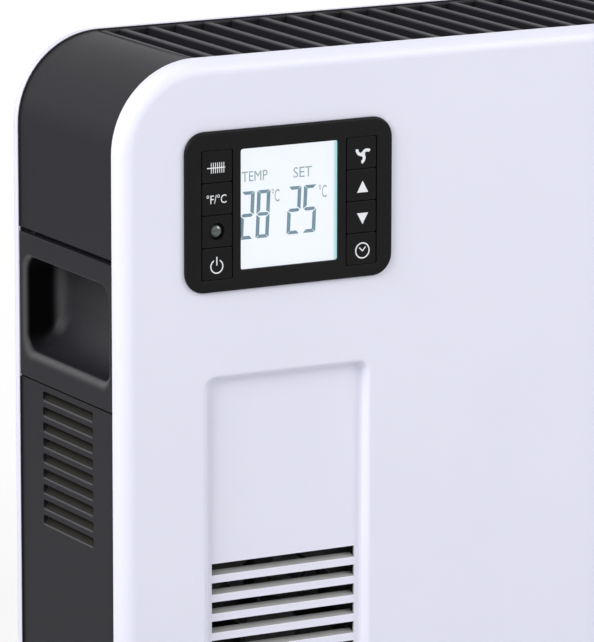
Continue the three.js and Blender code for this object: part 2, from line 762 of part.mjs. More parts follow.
function topGrille() {
  const across = [-GRILLE_HALF, GRILLE_HALF];
  const inside = [GRILLE_RAIL - GRILLE_HALF, GRILLE_HALF - GRILLE_RAIL];
  const spanInside = [FRAME_FRONT + GRILLE_RAIL, FRAME_BACK - GRILLE_RAIL];
  const frame = block(across, FRAME_SPAN, [GRILLE_TOP - FIN_DEPTH, GRILLE_TOP])
    .add(ringPart(across, [HEIGHT / 2, HEIGHT + CUT]))
    .subtract(block(inside, spanInside, [GRILLE_TOP - FIN_DEPTH - CUT, HEIGHT]));
  const first = FIRST_FIN - GRILLE_HALF;
  const pitch = (-2 * first) / (FIN_COUNT - 1);
  const fins = [];
  for (let i = 0; i < FIN_COUNT; i++) fins.push(grilleFin(first + i * pitch));
  const [x] = SCREWS.top;
  return frame.add(join(...fins)).add(screwBoss(SCREWS.top, [x, GRILLE_TOP - FIN_DEPTH / 2]));
}

// ---------------------------------------------------------------- bottom tray

function bottomTray() {
  const across = [-GRILLE_HALF, GRILLE_HALF];
  const through = [-CUT, TRAY_WALL + CUT];
  const pitch = (2 * FOOT_X - FOOT_PAD) / TRAY_SLOTS;
  const cuts = [
    rodZ(GLAND_X, GLAND_Y, GLAND_FLANGE + GAP, [-CUT, GLAND_SINK + GAP], 16),
    rodZ(GLAND_X, GLAND_Y, GLAND_BODY + GAP, through, 12),
  ];
  for (let i = 0; i < TRAY_SLOTS; i++) {
    const x = (i - (TRAY_SLOTS - 1) / 2) * pitch;
    cuts.push(block(about(x, TRAY_SLOT_WIDTH), about(-TRAY_SLOT_SHIFT, TRAY_SLOT_LENGTH), through));
  }
  for (const x of [-FOOT_X, FOOT_X])
    for (const y of about(0, FOOT_HOLE_SPACING)) cuts.push(rodZ(x, y, FOOT_HOLE, through, 8));
  const [x] = SCREWS.bottom;
  return ringPart(across, [-CUT, HEIGHT / 2])
    .add(block(across, FRAME_SPAN, [0, TRAY_WALL]))
    .subtract(join(...cuts))
    .add(screwBoss(SCREWS.bottom, [x, TRAY_WALL / 2]));
}

// Gland for the supply lead, pushed up into its counterbore.
function cordGland() {
  return rodZ(GLAND_X, GLAND_Y, GLAND_FLANGE, [GAP, GLAND_SINK], 16)
    .add(rodZ(GLAND_X, GLAND_Y, GLAND_BODY, [GAP, GLAND_HEIGHT], 12))
    .subtract(rodZ(GLAND_X, GLAND_Y, GLAND_BORE, [-CUT, GLAND_HEIGHT + CUT], 12));
}

// ---------------------------------------------------------------- control panel

// Column and row of each key. Column 0 is on the left, and rows count from the top.
const KEYS = {
  heat_key: [0, 0],
  unit_key: [0, 1],
  power_key: [0, 3],
  fan_key: [1, 0],
  up_key: [1, 1],
  down_key: [1, 2],
  timer_key: [1, 3],
};
const RECEIVER_CELL = [0, 2];

function cellCentre([column, row]) {
  const inset = KEY_MARGIN + KEY_WIDTH / 2;
  const x = column ? BEZEL_X1 - inset : BEZEL_X0 + inset;
  return [x, BEZEL_Z1 - KEY_TOP_MARGIN - (row + 0.5) * KEY_PITCH];
}

function bezelOutline(inset) {
  const across = [BEZEL_X0 + inset, BEZEL_X1 - inset];
  return roundedOutline(across, [BEZEL_Z0 + inset, BEZEL_Z1 - inset], BEZEL_CORNER - inset, 3);
}

function windowBlock(grow, span) {
  const across = about(OUTLET_X, WINDOW_WIDTH + 2 * grow);
  return block(across, span, about(BEZEL_MID_Z, WINDOW_HEIGHT + 2 * grow));
}

function bezel() {
  const seat = FRONT_Y - GAP;
  const skirtInset = BEZEL_FLANGE + GAP;
  const skirtHole = [bezelOutline(skirtInset + SKIRT_WALL)];
  const shape = join(
    loftY([
      { y: BEZEL_FACE, points: bezelOutline(BEZEL_EDGE) },
      { y: BEZEL_FACE + BEZEL_EDGE / 3, points: bezelOutline(BEZEL_EDGE / 3) },
      { y: BEZEL_FACE + BEZEL_EDGE, points: bezelOutline(0) },
      { y: seat, points: bezelOutline(0) },
    ]),
    prismY(bezelOutline(skirtInset), [BEZEL_FACE + BEZEL_EDGE, PLATE_BACK]),
    prismY(bezelOutline(skirtInset), [PLATE_BACK - CUT, SKIRT_BACK], skirtHole),
  );
  const through = [BEZEL_FACE - CUT, PLATE_BACK + CUT];
  const cuts = [
    windowBlock(0, through),
    windowBlock(WINDOW_REBATE, [BEZEL_FACE + WINDOW_LIP, PLATE_BACK + CUT]),
  ];
  for (const column of [0, 1]) {
    const [x, z] = cellCentre([column, 0]);
    const top = z + KEY_PITCH / 2;
    cuts.push(block(about(x, KEY_WIDTH), through, [top - KEY_ROWS * KEY_PITCH, top]));
  }
  return shape.subtract(join(...cuts));
}

// A cap that fills one cell of a key column, with catches behind the key plate.
function cellCap(cell) {
  const [x, z] = cellCentre(cell);
  const width = KEY_WIDTH - 2 * GAP;
  const height = KEY_PITCH - 2 * GAP;
  const front = BEZEL_FACE + KEY_SINK;
  const back = PLATE_BACK + GAP;
  const outline = (inset) =>
    roundedOutline(about(x, width - 2 * inset), about(z, height - 2 * inset), KEY_CORNER, 1);
  const cap = loftY([
    { y: front, points: outline(KEY_EDGE) },
    { y: front + KEY_EDGE, points: outline(0) },
    { y: back + CATCH_THICKNESS, points: outline(0) },
  ]);
  const catches = about(x, KEY_WIDTH + 2 * CATCH_REACH);
  return cap.add(block(catches, [back, back + CATCH_THICKNESS], about(z, height - 2 * KEY_CORNER)));
}

function key(cell) {
  const [x, z] = cellCentre(cell);
  const end = BOARD_FRONT - PLUNGER_HEIGHT - KEY_TRAVEL - GAP;
  return cellCap(cell).add(rodY(x, z, STEM_RADIUS, [PLATE_BACK, end], 8));
}

function receiverPlate() {
  const [x, z] = cellCentre(RECEIVER_CELL);
  const through = [BEZEL_FACE - CUT, PLATE_BACK + GAP + CATCH_THICKNESS + CUT];
  return cellCap(RECEIVER_CELL).subtract(rodY(x, z, LENS_RADIUS + GAP, through, 16));
}

// Dark lens with a domed front, over the remote control's receiver.
function receiverLens() {
  const [x, z] = cellCentre(RECEIVER_CELL);
  const front = BEZEL_FACE + KEY_SINK;
  const rings = [];
  for (const angle of [20, 45, 70, 90]) {
    const y = front + (LENS_RADIUS / 2) * (1 - Math.cos(radians(angle)));
    rings.push({ y, points: circle(x, z, LENS_RADIUS * Math.sin(radians(angle)), 16) });
  }
  rings.push({ y: PLATE_BACK + GAP, points: circle(x, z, LENS_RADIUS, 16) });
  return loftY(rings);
}

function controlBoard() {
  const inset = BEZEL_FLANGE + GAP + BOARD_MARGIN;
  const back = BOARD_FRONT + BOARD;
  const parts = [
    block(
      [BEZEL_X0 + inset, BEZEL_X1 - inset],
      [BOARD_FRONT, back],
      [BEZEL_Z0 + inset, BEZEL_Z1 - inset],
    ),
  ];
  const [switchX, switchY, switchZ] = SWITCH;
  for (const cell of Object.values(KEYS)) {
    const [x, z] = cellCentre(cell);
    parts.push(block(about(x, switchX), [BOARD_FRONT - switchY, back - GAP], about(z, switchZ)));
    parts.push(rodY(x, z, PLUNGER_RADIUS, [BOARD_FRONT - PLUNGER_HEIGHT, BOARD_FRONT], 6));
  }
  const [chipX, chipY, chipZ] = CHIP;
  parts.push(block(about(OUTLET_X, chipX), [BOARD_FRONT + GAP, back + chipY], about(BEZEL_MID_Z, chipZ)));
  const [socketX, socketY, socketZ] = SOCKET;
  const foot = BEZEL_Z0 + SOCKET_RISE;
  parts.push(
    block(
      about(OUTLET_X - SOCKET_SHIFT, socketX),
      [BOARD_FRONT + GAP, back + socketY],
      [foot, foot + socketZ],
    ),
  );
  return join(...parts);
}

// ---------------------------------------------------------------- fans

// Duct collar on the slots, orifice plate, barrel round the blades, motor arms, and four posts.
function fanShroud() {
  const outerX = COLLAR_X + COLLAR_WALL;
  const outerZ = COLLAR_Z + COLLAR_WALL;
  const collar = block(
    about(OUTLET_X, 2 * outerX),
    [COLLAR_FRONT, ORIFICE_Y + COLLAR_WALL],
    about(FAN_Z, 2 * outerZ),
  ).subtract(
    block(about(OUTLET_X, 2 * COLLAR_X), [COLLAR_FRONT - CUT, ORIFICE_Y], about(FAN_Z, 2 * COLLAR_Z)),
  );
  const barrelOuter = BARREL_RADIUS + BARREL_WALL;
  const barrel = rodY(OUTLET_X, FAN_Z, barrelOuter, [ORIFICE_Y, BARREL_BACK], 20);
  const bore = rodY(OUTLET_X, FAN_Z, BARREL_RADIUS, [ORIFICE_Y - GAP, BARREL_BACK + CUT], 20);
  const armSpan = [BARREL_BACK - ARM_DEPTH, BARREL_BACK];
  const reach = 2 * BARREL_RADIUS + BARREL_WALL;
  const posts = [];
  for (const sideX of [-1, 1])
    for (const sideZ of [-1, 1]) {
      const x = OUTLET_X + sideX * (outerX - POST_RADIUS);
      const z = FAN_Z + sideZ * (outerZ - POST_RADIUS);
      posts.push(rodY(x, z, POST_RADIUS, [ORIFICE_Y + GAP, CHASSIS_SEAT], 6));
    }
  return join(collar, barrel)
    .subtract(bore)
    .add(block(about(OUTLET_X, reach), armSpan, about(FAN_Z, ARM_WIDTH)))
    .add(block(about(OUTLET_X, ARM_WIDTH), armSpan, about(FAN_Z, reach)))
    .add(rodY(OUTLET_X, FAN_Z, MOTOR_RADIUS, armSpan, 16))
    .subtract(rodY(OUTLET_X, FAN_Z, 2 * SHAFT_RADIUS, [armSpan[0] - CUT, BARREL_BACK + CUT], 10))
    .add(join(...posts));
}

function fanMotor() {
  const face = BARREL_BACK + GAP;
  const shaft = [HUB_FRONT + SLEEVE_RADIUS, face + CUT];
  return rodY(OUTLET_X, FAN_Z, MOTOR_RADIUS, [face, face + MOTOR_LENGTH], 16).add(
    rodY(OUTLET_X, FAN_Z, SHAFT_RADIUS, shaft, 8),
  );
}

// One twisted blade that stands up from the hub, then turned round the axis.
function blade(turn) {
  const sectionCount = 3;
  const root = HUB_RADIUS - HUB_WALL - BLADE_THICKNESS / 2;
  const positions = [];
  for (let s = 0; s <= sectionCount; s++) {
    const t = s / sectionCount;
    const radius = root + (TIP_RADIUS - root) * t;
    const angle = radians(BLADE_ROOT_ANGLE + (BLADE_TIP_ANGLE - BLADE_ROOT_ANGLE) * t);
    const half = (BLADE_CHORD / 2 - BLADE_THICKNESS / 2) / Math.sin(radians(BLADE_ROOT_ANGLE));
    const chord = new THREE.Vector2(half, 0).rotateAround(new THREE.Vector2(), angle);
    const across = new THREE.Vector2(0, BLADE_THICKNESS / 2).rotateAround(new THREE.Vector2(), angle);
    for (const [c, a] of [
      [-1, -1],
      [1, -1],
      [1, 1],
      [-1, 1],
    ]) {
      const x = c * chord.x + a * across.x;
      const y = c * chord.y + a * across.y;
      positions.push(x, y, Math.sqrt(radius * radius - x * x));
    }
  }
  const index = [2, 1, 0, 3, 2, 0];
  for (let s = 0; s < sectionCount; s++)
    for (let i = 0; i < 4; i++) {
      const a = s * 4 + i;
      const b = s * 4 + ((i + 1) % 4);
      index.push(a, b, a + 4, b, b + 4, a + 4);
    }
  const end = sectionCount * 4;
  index.push(end, end + 1, end + 2, end, end + 2, end + 3);
  const geometry = new THREE.BufferGeometry();
  geometry.setAttribute("position", new THREE.Float32BufferAttribute(positions, 3));
  geometry.setIndex(index);
  geometry.rotateY(turn).translate(OUTLET_X, (HUB_FRONT + HUB_BACK) / 2, FAN_Z);
  return solid(geometry);
}

function impeller() {
  const blades = [];
  for (let i = 0; i < BLADE_COUNT; i++) blades.push(blade((2 * Math.PI * i) / BLADE_COUNT));
  const ring = (y, radius) => ({ y, points: circle(OUTLET_X, FAN_Z, radius, 18) });
  const cup = loftY([
    ring(HUB_FRONT, HUB_RADIUS - HUB_WALL),
    ring(HUB_FRONT + HUB_WALL, HUB_RADIUS),
    ring(HUB_BACK, HUB_RADIUS),
  ]);
  const hubFloor = HUB_FRONT + 2 * HUB_WALL;
  return join(cup, ...blades)
    .subtract(rodY(OUTLET_X, FAN_Z, HUB_RADIUS - HUB_WALL, [hubFloor, HUB_BACK + CUT], 18))
    .add(rodY(OUTLET_X, FAN_Z, SLEEVE_RADIUS, [HUB_FRONT + CUT, HUB_BACK - HUB_WALL], 8))
    .subtract(
      rodY(OUTLET_X, FAN_Z, SHAFT_RADIUS + GAP, [HUB_FRONT + SLEEVE_RADIUS - GAP, HUB_BACK + CUT], 8),
    );
}

// ---------------------------------------------------------------- chassis and heating elements

// Hat-shaped sheet that stands on the back panel, shields it from the heat and carries the inside.
function chassis() {
  const flange = SIDE_X - CHASSIS_SIDE;
  const wall = CHASSIS_WALL;
  const seat = BACK_Y - SHEET - GAP;
  const front = CHASSIS_Y;
  const outline = polygon(
    [-flange, seat - SHEET],
    [-wall, seat - SHEET],
    [-wall, front],
    [wall, front],
    [wall, seat - SHEET],
    [flange, seat - SHEET],
    [flange, seat],
    [wall - SHEET, seat],
    [wall - SHEET, front + SHEET],
    [SHEET - wall, front + SHEET],
    [SHEET - wall, seat],
    [-flange, seat],
  );
  return prismZ(outline, [CHASSIS_BOTTOM, HEIGHT - CHASSIS_TOP]);
}

// Tubular element with square aluminium heat fins pressed on.
function heatingElement(z) {
  const end = BRACKET_X + SHEET + ELEMENT_END;
  const [thickness, depth, height] = PLATE;
  const first = PLATE_MARGIN - BRACKET_X;
  const pitch = (-2 * first) / (PLATE_COUNT - 1);
  const plates = [];
  for (let i = 0; i < PLATE_COUNT; i++)
    plates.push(block(about(first + i * pitch, thickness), about(ELEMENT_Y, depth), about(z, height)));
  return rodX(ELEMENT_Y, z, ELEMENT_TUBE, [-end, end], 6).add(join(...plates));
}

// Ceramic bush that carries one end of an element in its bracket.
function elementBush(z) {
  const outside = BRACKET_X + SHEET;
  return rodX(ELEMENT_Y, z, BUSH_RADIUS, [BRACKET_X - BUSH_REACH, outside + BUSH_REACH], 10)
    .add(rodX(ELEMENT_Y, z, BUSH_RADIUS + BUSH_FLANGE, [outside + GAP, outside + BUSH_REACH], 10))
    .subtract(rodX(ELEMENT_Y, z, ELEMENT_TUBE + GAP, [0, outside + BUSH_REACH + CUT], 10));
}

// Sheet angle that stands on the chassis at the right end of both elements.
function elementBracket() {
  const [low, high] = ELEMENT_HEIGHTS;
  const heights = [low - BRACKET_RISE, high + BRACKET_RISE];
  const web = [BRACKET_X, BRACKET_X + SHEET];
  let shape = block(web, [ELEMENT_Y - BRACKET_FRONT, CHASSIS_SEAT], heights).add(
    block([BRACKET_X - BRACKET_FLANGE, BRACKET_X + SHEET], [CHASSIS_SEAT - SHEET, CHASSIS_SEAT], heights),
  );
  for (const z of ELEMENT_HEIGHTS) {
    const through = [BRACKET_X - CUT, BRACKET_X + SHEET + CUT];
    shape = shape.subtract(rodX(ELEMENT_Y, z, BUSH_RADIUS + GAP, through, 10));
  }
  return shape;
}

// ---------------------------------------------------------------- electrical pieces

function powerBoard() {
  const [width, thickness, height] = POWER_BOARD;
  const [x0, x1] = about(OUTLET_X, width);
  const z1 = HEIGHT - POWER_BOARD_TOP;
  const z0 = z1 - height;
  const back = CHASSIS_SEAT - STANDOFF;
  const front = back - thickness;
  const parts = [block([x0, x1], [front, back], [z0, z1])];
  for (const x of [x0 + STANDOFF_INSET, x1 - STANDOFF_INSET])
    for (const z of [z0 + STANDOFF_INSET, z1 - STANDOFF_INSET])
      parts.push(rodY(x, z, STANDOFF_RADIUS, [back - GAP, CHASSIS_SEAT], 8));
  const [relayX, relayY, relayZ] = RELAY;
  const relayTop = z1 - RELAY_TOP;
  for (let i = 0; i < RELAY_COUNT; i++) {
    const x = x0 + PART_INSET + i * RELAY_PITCH;
    parts.push(block([x, x + relayX], [front - relayY, back - GAP], [relayTop - relayZ, relayTop]));
  }
  const [coreX, coreY, coreZ] = TRANSFORMER;
  const coreFoot = z0 + TRANSFORMER_RISE;
  const coreSpan = [front - coreY, back - GAP];
  parts.push(block([x0 + PART_INSET, x0 + PART_INSET + coreX], coreSpan, [coreFoot, coreFoot + coreZ]));
  const canX = x1 - PART_INSET - 2 * CAPACITOR_RADIUS;
  const canSpan = [front - CAPACITOR_HEIGHT, back - GAP];
  parts.push(rodY(canX, coreFoot + coreZ / 2, CAPACITOR_RADIUS, canSpan, 12));
  return join(...parts);
}

// Snap-disc thermal cut-out above the elements, with its two tabs.
function thermalCutout() {
  const [baseX, baseY, baseZ] = CUTOUT_BASE;
  const [tabX, tabY, tabZ] = CUTOUT_TAB;
  const can = [CHASSIS_SEAT - CUTOUT_HEIGHT, CHASSIS_SEAT - GAP];
  const parts = [
    block(about(0, baseX), [CHASSIS_SEAT - baseY, CHASSIS_SEAT], about(CUTOUT_Z, baseZ)),
    rodY(0, CUTOUT_Z, CUTOUT_RADIUS, can, 16),
  ];
  for (const x of about(0, CUTOUT_RADIUS)) {
    const span = [CHASSIS_SEAT - CUTOUT_HEIGHT - tabY, CHASSIS_SEAT - CUTOUT_HEIGHT + CUT];
    parts.push(block(about(x, tabX), span, about(CUTOUT_Z, tabZ)));
  }
  return join(...parts);
}

function terminalBlock() {
  const [width, depth, height] = TERMINALS;
  const front = CHASSIS_SEAT - depth;
  let shape = block(about(TERMINALS_X, width), [front, CHASSIS_SEAT], about(TERMINALS_Z, height));
  for (let i = 0; i < TERMINAL_COUNT; i++) {
    const x = TERMINALS_X + (i - (TERMINAL_COUNT - 1) / 2) * TERMINAL_PITCH;
    shape = shape.subtract(rodY(x, TERMINALS_Z, TERMINAL_BORE, [front - CUT, front + depth / 2], 8));
  }
  return shape;
}

// Room temperature sensor on the inside of the left cheek, below its louvres.
function roomSensor() {
  const wall = FRAME_INNER + GAP - SIDE_X;
  const z = louvreTop(LOUVRE_COUNT - 1) - LOUVRE_HEIGHT - SENSOR_DROP;
  const [baseX, baseY, baseZ] = SENSOR_BASE;
  const [postX, postY, postZ] = SENSOR_POST;
  return join(
    block([wall, wall + baseX], about(0, baseY), about(z, baseZ)),
    block([wall, wall + baseX + postX], about(0, postY), about(z, postZ)),
    rodX(0, z, SENSOR_BEAD, [wall, wall + SENSOR_REACH], 8),
  );
}

// ---------------------------------------------------------------- assembly

const heater = new THREE.Group();

function place(name, shape, material) {
  const mesh = new THREE.Mesh(geometryOf(shape), material);
  mesh.name = name;
  heater.add(mesh);
}

// A piece and its mirror image. Left is where X is below zero.
function placePair(name, shape, material) {
  const onLeft = shape.boundingBox().min[0] + shape.boundingBox().max[0] < 0;
  place(`${name}_${onLeft ? "left" : "right"}`, shape, material);
  place(`${name}_${onLeft ? "right" : "left"}`, mirrored(shape), material);
}

place("front_panel", frontPanel(), WHITE_PAINT);
place("back_panel", backPanel(), WHITE_PAINT);
place("top_grille", topGrille(), BLACK_PLASTIC);
place("bottom_tray", bottomTray(), BLACK_PLASTIC);
placePair("upper_cheek", upperCheek(), BLACK_PLASTIC);
placePair("grip", grip(), BLACK_PLASTIC);
placePair("lower_cheek", lowerCheek(), BLACK_PLASTIC);
place("cord_gland", cordGland(), BLACK_PLASTIC);
for (const [name, spot] of Object.entries(SCREWS)) place(`back_screw_${name}`, backScrew(spot), ZINC);

place("bezel", bezel(), PANEL_BLACK);
for (const [name, cell] of Object.entries(KEYS)) place(name, key(cell), KEY_BLACK);
place("receiver_plate", receiverPlate(), KEY_BLACK);
place("receiver_lens", receiverLens(), SMOKED_PLASTIC);
const glassFront = BEZEL_FACE + WINDOW_LIP + GAP;
const displayFront = glassFront + GLASS + GAP;
const paneMargin = WINDOW_REBATE - GAP;
place("display_window", windowBlock(paneMargin, [glassFront, glassFront + GLASS]), CLEAR_PLASTIC);
place("display_module", windowBlock(paneMargin, [displayFront, displayFront + DISPLAY_DEPTH]), DISPLAY);
place("control_board", controlBoard(), BOARD_GREEN);

place("chassis", chassis(), GALVANISED);
placePair("fan_shroud", fanShroud(), GREY_PLASTIC);
placePair("fan_motor", fanMotor(), GALVANISED);
placePair("impeller", impeller(), GREY_PLASTIC);
placePair("element_bracket", elementBracket(), GALVANISED);
ELEMENT_HEIGHTS.forEach((z, i) => {
  const level = i ? "upper" : "lower";
  place(`heating_element_${level}`, heatingElement(z), ALUMINIUM);
  placePair(`element_bush_${level}`, elementBush(z), CERAMIC);
});
place("power_board", powerBoard(), BOARD_GREEN);
place("thermal_cutout", thermalCutout(), CERAMIC);
place("terminal_block", terminalBlock(), BLACK_PLASTIC);
place("room_sensor", roomSensor(), GREY_PLASTIC);

export default heater;
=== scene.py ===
# %% [markdown]
# # A wall panel convector heater
# Two white steel pans hold a black moulded frame between them. A control panel sits at the upper
# left of the front, hot air leaves through fins on top and through lanced slots low on the front,
# and each side has a finger cup with louvres below it.
#
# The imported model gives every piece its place. This script gives the pieces that show their
# finished form and surface, in metres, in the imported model's own frame.

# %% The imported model
import math

import bmesh
import bpy
from mathutils import Matrix, Vector


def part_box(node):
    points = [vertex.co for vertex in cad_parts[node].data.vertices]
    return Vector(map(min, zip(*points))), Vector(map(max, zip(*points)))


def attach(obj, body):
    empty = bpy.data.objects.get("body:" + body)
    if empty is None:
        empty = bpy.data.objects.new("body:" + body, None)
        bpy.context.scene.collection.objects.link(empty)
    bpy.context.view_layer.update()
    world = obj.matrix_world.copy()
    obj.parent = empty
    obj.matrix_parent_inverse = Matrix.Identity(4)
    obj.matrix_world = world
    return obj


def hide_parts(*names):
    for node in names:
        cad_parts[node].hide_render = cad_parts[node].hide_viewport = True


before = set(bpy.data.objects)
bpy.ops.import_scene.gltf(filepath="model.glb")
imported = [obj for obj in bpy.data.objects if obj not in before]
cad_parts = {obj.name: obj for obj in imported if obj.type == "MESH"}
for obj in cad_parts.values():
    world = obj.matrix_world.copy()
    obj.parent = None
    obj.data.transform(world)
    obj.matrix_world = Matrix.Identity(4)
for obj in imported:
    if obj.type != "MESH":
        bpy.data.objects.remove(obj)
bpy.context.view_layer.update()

# %% [markdown]
# ## Camera
# The photograph was taken from far off, from the front left and a little above. A long lens keeps
# the upright edges upright. Azimuth and elevation turn round a point just in front of the panel.

# %% Camera
MM = 0.001
AIM = Vector((-252.0, -120.1, 276.7)) * MM
DISTANCE = 2761 * MM
AZIMUTH = math.radians(-28.593)
ELEVATION = math.radians(11.954)
ROLL = math.radians(0.095)
SENSOR = 36.0
FOCAL_PIXELS = 5594.0
IMAGE_HEIGHT = 642
FAR_END = 60.0

backwards = Vector((
    math.sin(AZIMUTH) * math.cos(ELEVATION),
    -math.cos(AZIMUTH) * math.cos(ELEVATION),
    math.sin(ELEVATION),
))
camera = bpy.data.objects.new("camera", bpy.data.cameras.new("camera"))
camera.data.sensor_fit = "VERTICAL"
camera.data.sensor_height = SENSOR
camera.data.lens = SENSOR * FOCAL_PIXELS / IMAGE_HEIGHT
camera.data.clip_end = FAR_END
turn = backwards.to_track_quat("Z", "Y").to_matrix().to_4x4() @ Matrix.Rotation(ROLL, 4, "Z")
camera.matrix_world = Matrix.Translation(AIM + backwards * DISTANCE) @ turn
bpy.context.scene.collection.objects.link(camera)
bpy.context.scene.camera = camera
bpy.context.scene.view_settings.view_transform = "Standard"
print("lens", round(camera.data.lens, 1), "mm")

# %% [markdown]
# ## Driving sizes
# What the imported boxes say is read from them. The rest are the part's own sizes, in millimetres
# turned into metres.

# %% Driving sizes
def mm(*lengths):
    return [length * MM for length in lengths]


SIDE_X, _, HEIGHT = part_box("front_panel")[1]
FRONT_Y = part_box("front_panel")[0].y
BACK_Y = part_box("back_panel")[1].y
CORNER, SHEET, GAP, CUT = mm(46, 1.2, 0.3, 1)
FRONT_RIM, FRONT_FILLET = mm(9, 8)
BACK_RIM, BACK_FILLET = mm(8.4, 5)
FRAME_FRONT = FRONT_Y + FRONT_RIM + GAP
FRAME_BACK = BACK_Y - BACK_RIM - GAP
FRAME_INSET, FRAME_WALL = mm(0.8, 2.5)
TONGUE_INSET, TONGUE_LENGTH = mm(2, 2.5)
TONGUES = (
    (FRAME_FRONT - TONGUE_LENGTH, FRAME_FRONT), (FRAME_BACK, FRAME_BACK + TONGUE_LENGTH),
)
GRILLE_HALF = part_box("top_grille")[1].x
GRILLE_U = (-GRILLE_HALF, GRILLE_HALF)
EDGE_ROUND, EDGE_ROUND_STEPS = 0.6 * MM, 3
print("body", *[round(size / MM) for size in (2 * SIDE_X, BACK_Y - FRONT_Y, HEIGHT)], "mm")

# %% [markdown]
# ## Drawing on a face
# Most pieces here are plates, pans and mouldings with openings. It is easiest to draw each one as
# it is seen from its outer side: u to the right, v up, w towards the viewer. A turn then puts it
# on its side of the heater.

# %% Drawing on a face
FACING = {
    "front": Matrix(((1, 0, 0), (0, 0, -1), (0, 1, 0))),
    "back": Matrix(((-1, 0, 0), (0, 0, 1), (0, 1, 0))),
    "left": Matrix(((0, 0, -1), (-1, 0, 0), (0, 1, 0))),
    "top": Matrix.Identity(3),
    "bottom": Matrix(((1, 0, 0), (0, -1, 0), (0, 0, -1))),
}
LEAST_CORNER, ROUNDING_ERROR = 0.5 * MM, 1e-7


def about(middle, length):
    """Limits of a length about its middle."""
    return (middle - length / 2, middle + length / 2)


class Outline:
    """A rectangle with limits u and v and rounded corners, or a disc where they meet."""

    def __init__(self, u, v, radius=0.0, steps=6):
        self.u, self.v, self.radius, self.steps = u, v, radius, steps

    def grow(self, by, least=LEAST_CORNER):
        u = (self.u[0] - by, self.u[1] + by)
        v = (self.v[0] - by, self.v[1] + by)
        radius = max(self.radius + by, least) if self.radius else 0.0
        return Outline(u, v, radius, self.steps)

    def ring(self, bm, w):
        """Adds the outline's edges at height w and returns them."""
        width, height = self.u[1] - self.u[0], self.v[1] - self.v[0]
        middle = (sum(self.u) / 2, sum(self.v) / 2, w)
        if 2 * self.radius >= width - ROUNDING_ERROR:
            made = bmesh.ops.create_circle(bm, segments=4 * self.steps, radius=self.radius)["verts"]
            bmesh.ops.translate(bm, vec=middle, verts=made)
            return list(dict.fromkeys(edge for vert in made for edge in vert.link_edges))
        made = bmesh.ops.create_grid(bm, x_segments=1, y_segments=1, size=0.5)["verts"]
        bmesh.ops.scale(bm, vec=(width, height, 1), verts=made)
        bmesh.ops.translate(bm, vec=middle, verts=made)
        if self.radius:
            made = soften(bm, made, self.radius, self.steps, "VERTICES")
        face = made[0].link_faces[0]
        edges = list(face.edges)
        bmesh.ops.delete(bm, geom=[face], context="FACES_ONLY")
        return edges


def disc(u, v, radius, steps=6):
    return Outline(about(u, 2 * radius), about(v, 2 * radius), radius, steps)


def front_view(node, inset=0.0, radius=0.0, steps=6):
    """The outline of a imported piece, as the front shows it."""
    low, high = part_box(node)
    return Outline((low.x + inset, high.x - inset), (low.z + inset, high.z - inset), radius, steps)


def middle_of(node):
    """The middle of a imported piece, as its x and z."""
    low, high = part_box(node)
    return ((low.x + high.x) / 2, (low.z + high.z) / 2)


def soften(bm, geom, width, steps, affect="EDGES"):
    """Rounds edges, or the corners at vertices, over to a given width."""
    return bmesh.ops.bevel(
        bm, geom=geom, offset=width, offset_type="OFFSET", segments=steps, profile=0.5,
        affect=affect, material=-1,
    )["verts"]


def points(edges):
    """The points of edges, each one once."""
    return list(dict.fromkeys(vert for edge in edges for vert in edge.verts))


def around(ring):
    """A ring's points in order, from its lower right end round to the left."""
    verts = points(ring)
    middle = sum((vert.co for vert in verts), Vector()) / len(verts)
    verts.sort(key=lambda vert: math.atan2(vert.co.y - middle.y, vert.co.x - middle.x))
    first = max(range(len(verts)), key=lambda i: (round(verts[i].co.x, 6), -verts[i].co.y))
    return verts[first:] + verts[:first]


def loft(bm, *rings):
    """Walls from each ring to the next."""
    for low, high in zip(map(around, rings), map(around, rings[1:])):
        for i in range(len(low)):
            bm.faces.new((low[i - 1], low[i], high[i], high[i - 1]))


def walls(bm, levels, *rounded, loop=False):
    """Walls through outlines at their heights, and back to the first one in a loop. Each of rounded
    is a ring's number with the width and steps it is softened by. Returns the rings."""
    rings = [outline.ring(bm, w) for outline, w in levels]
    loft(bm, *rings, *(rings[:1] if loop else ()))
    for number, width, steps in rounded:
        soften(bm, rings[number], width, steps)
    return rings


def plate(bm, outline, back, face):
    """A moulded plate's sides and rounded edge. Returns its back ring and the ring of its flat."""
    levels = [(outline, back), (outline, face), (outline.grow(-CUT), face)]
    return walls(bm, levels, (1, EDGE_ROUND, EDGE_ROUND_STEPS))[::2]


def fill(bm, outer, holes=()):
    """A flat face inside the outer ring, open at the holes. The fill takes very short lengths for
    nothing, so it is made at a thousand times the size."""
    edges = [edge for ring in (outer, *holes) for edge in ring]
    verts = points(edges)
    bmesh.ops.scale(bm, vec=(1 / MM, 1 / MM, 1 / MM), verts=verts)
    bmesh.ops.triangle_fill(bm, use_beauty=True, use_dissolve=False, edges=edges)
    bmesh.ops.scale(bm, vec=(MM, MM, MM), verts=verts)


def slab(bm, u, v, w):
    """A closed block between limits."""
    corners = bmesh.ops.create_cube(bm, size=1)["verts"]
    bmesh.ops.scale(bm, vec=(u[1] - u[0], v[1] - v[0], w[1] - w[0]), verts=corners)
    bmesh.ops.translate(bm, vec=(sum(u) / 2, sum(v) / 2, sum(w) / 2), verts=corners)
    return corners


print("faces to draw on:", ", ".join(FACING))

# %% [markdown]
# ## From drawing to piece
# A drawing becomes a finished piece in a fixed order. Its faces are turned outwards, a sheet gets
# its thickness, sharp edges are rounded a little, and the shading is smoothed except at real
# corners. Weighted normals keep large flat faces flat next to round edges.

# %% From drawing to piece
SMOOTH_BELOW, ROUND_ABOVE = math.radians(32), math.radians(50)
BEVEL_STEPS = 2


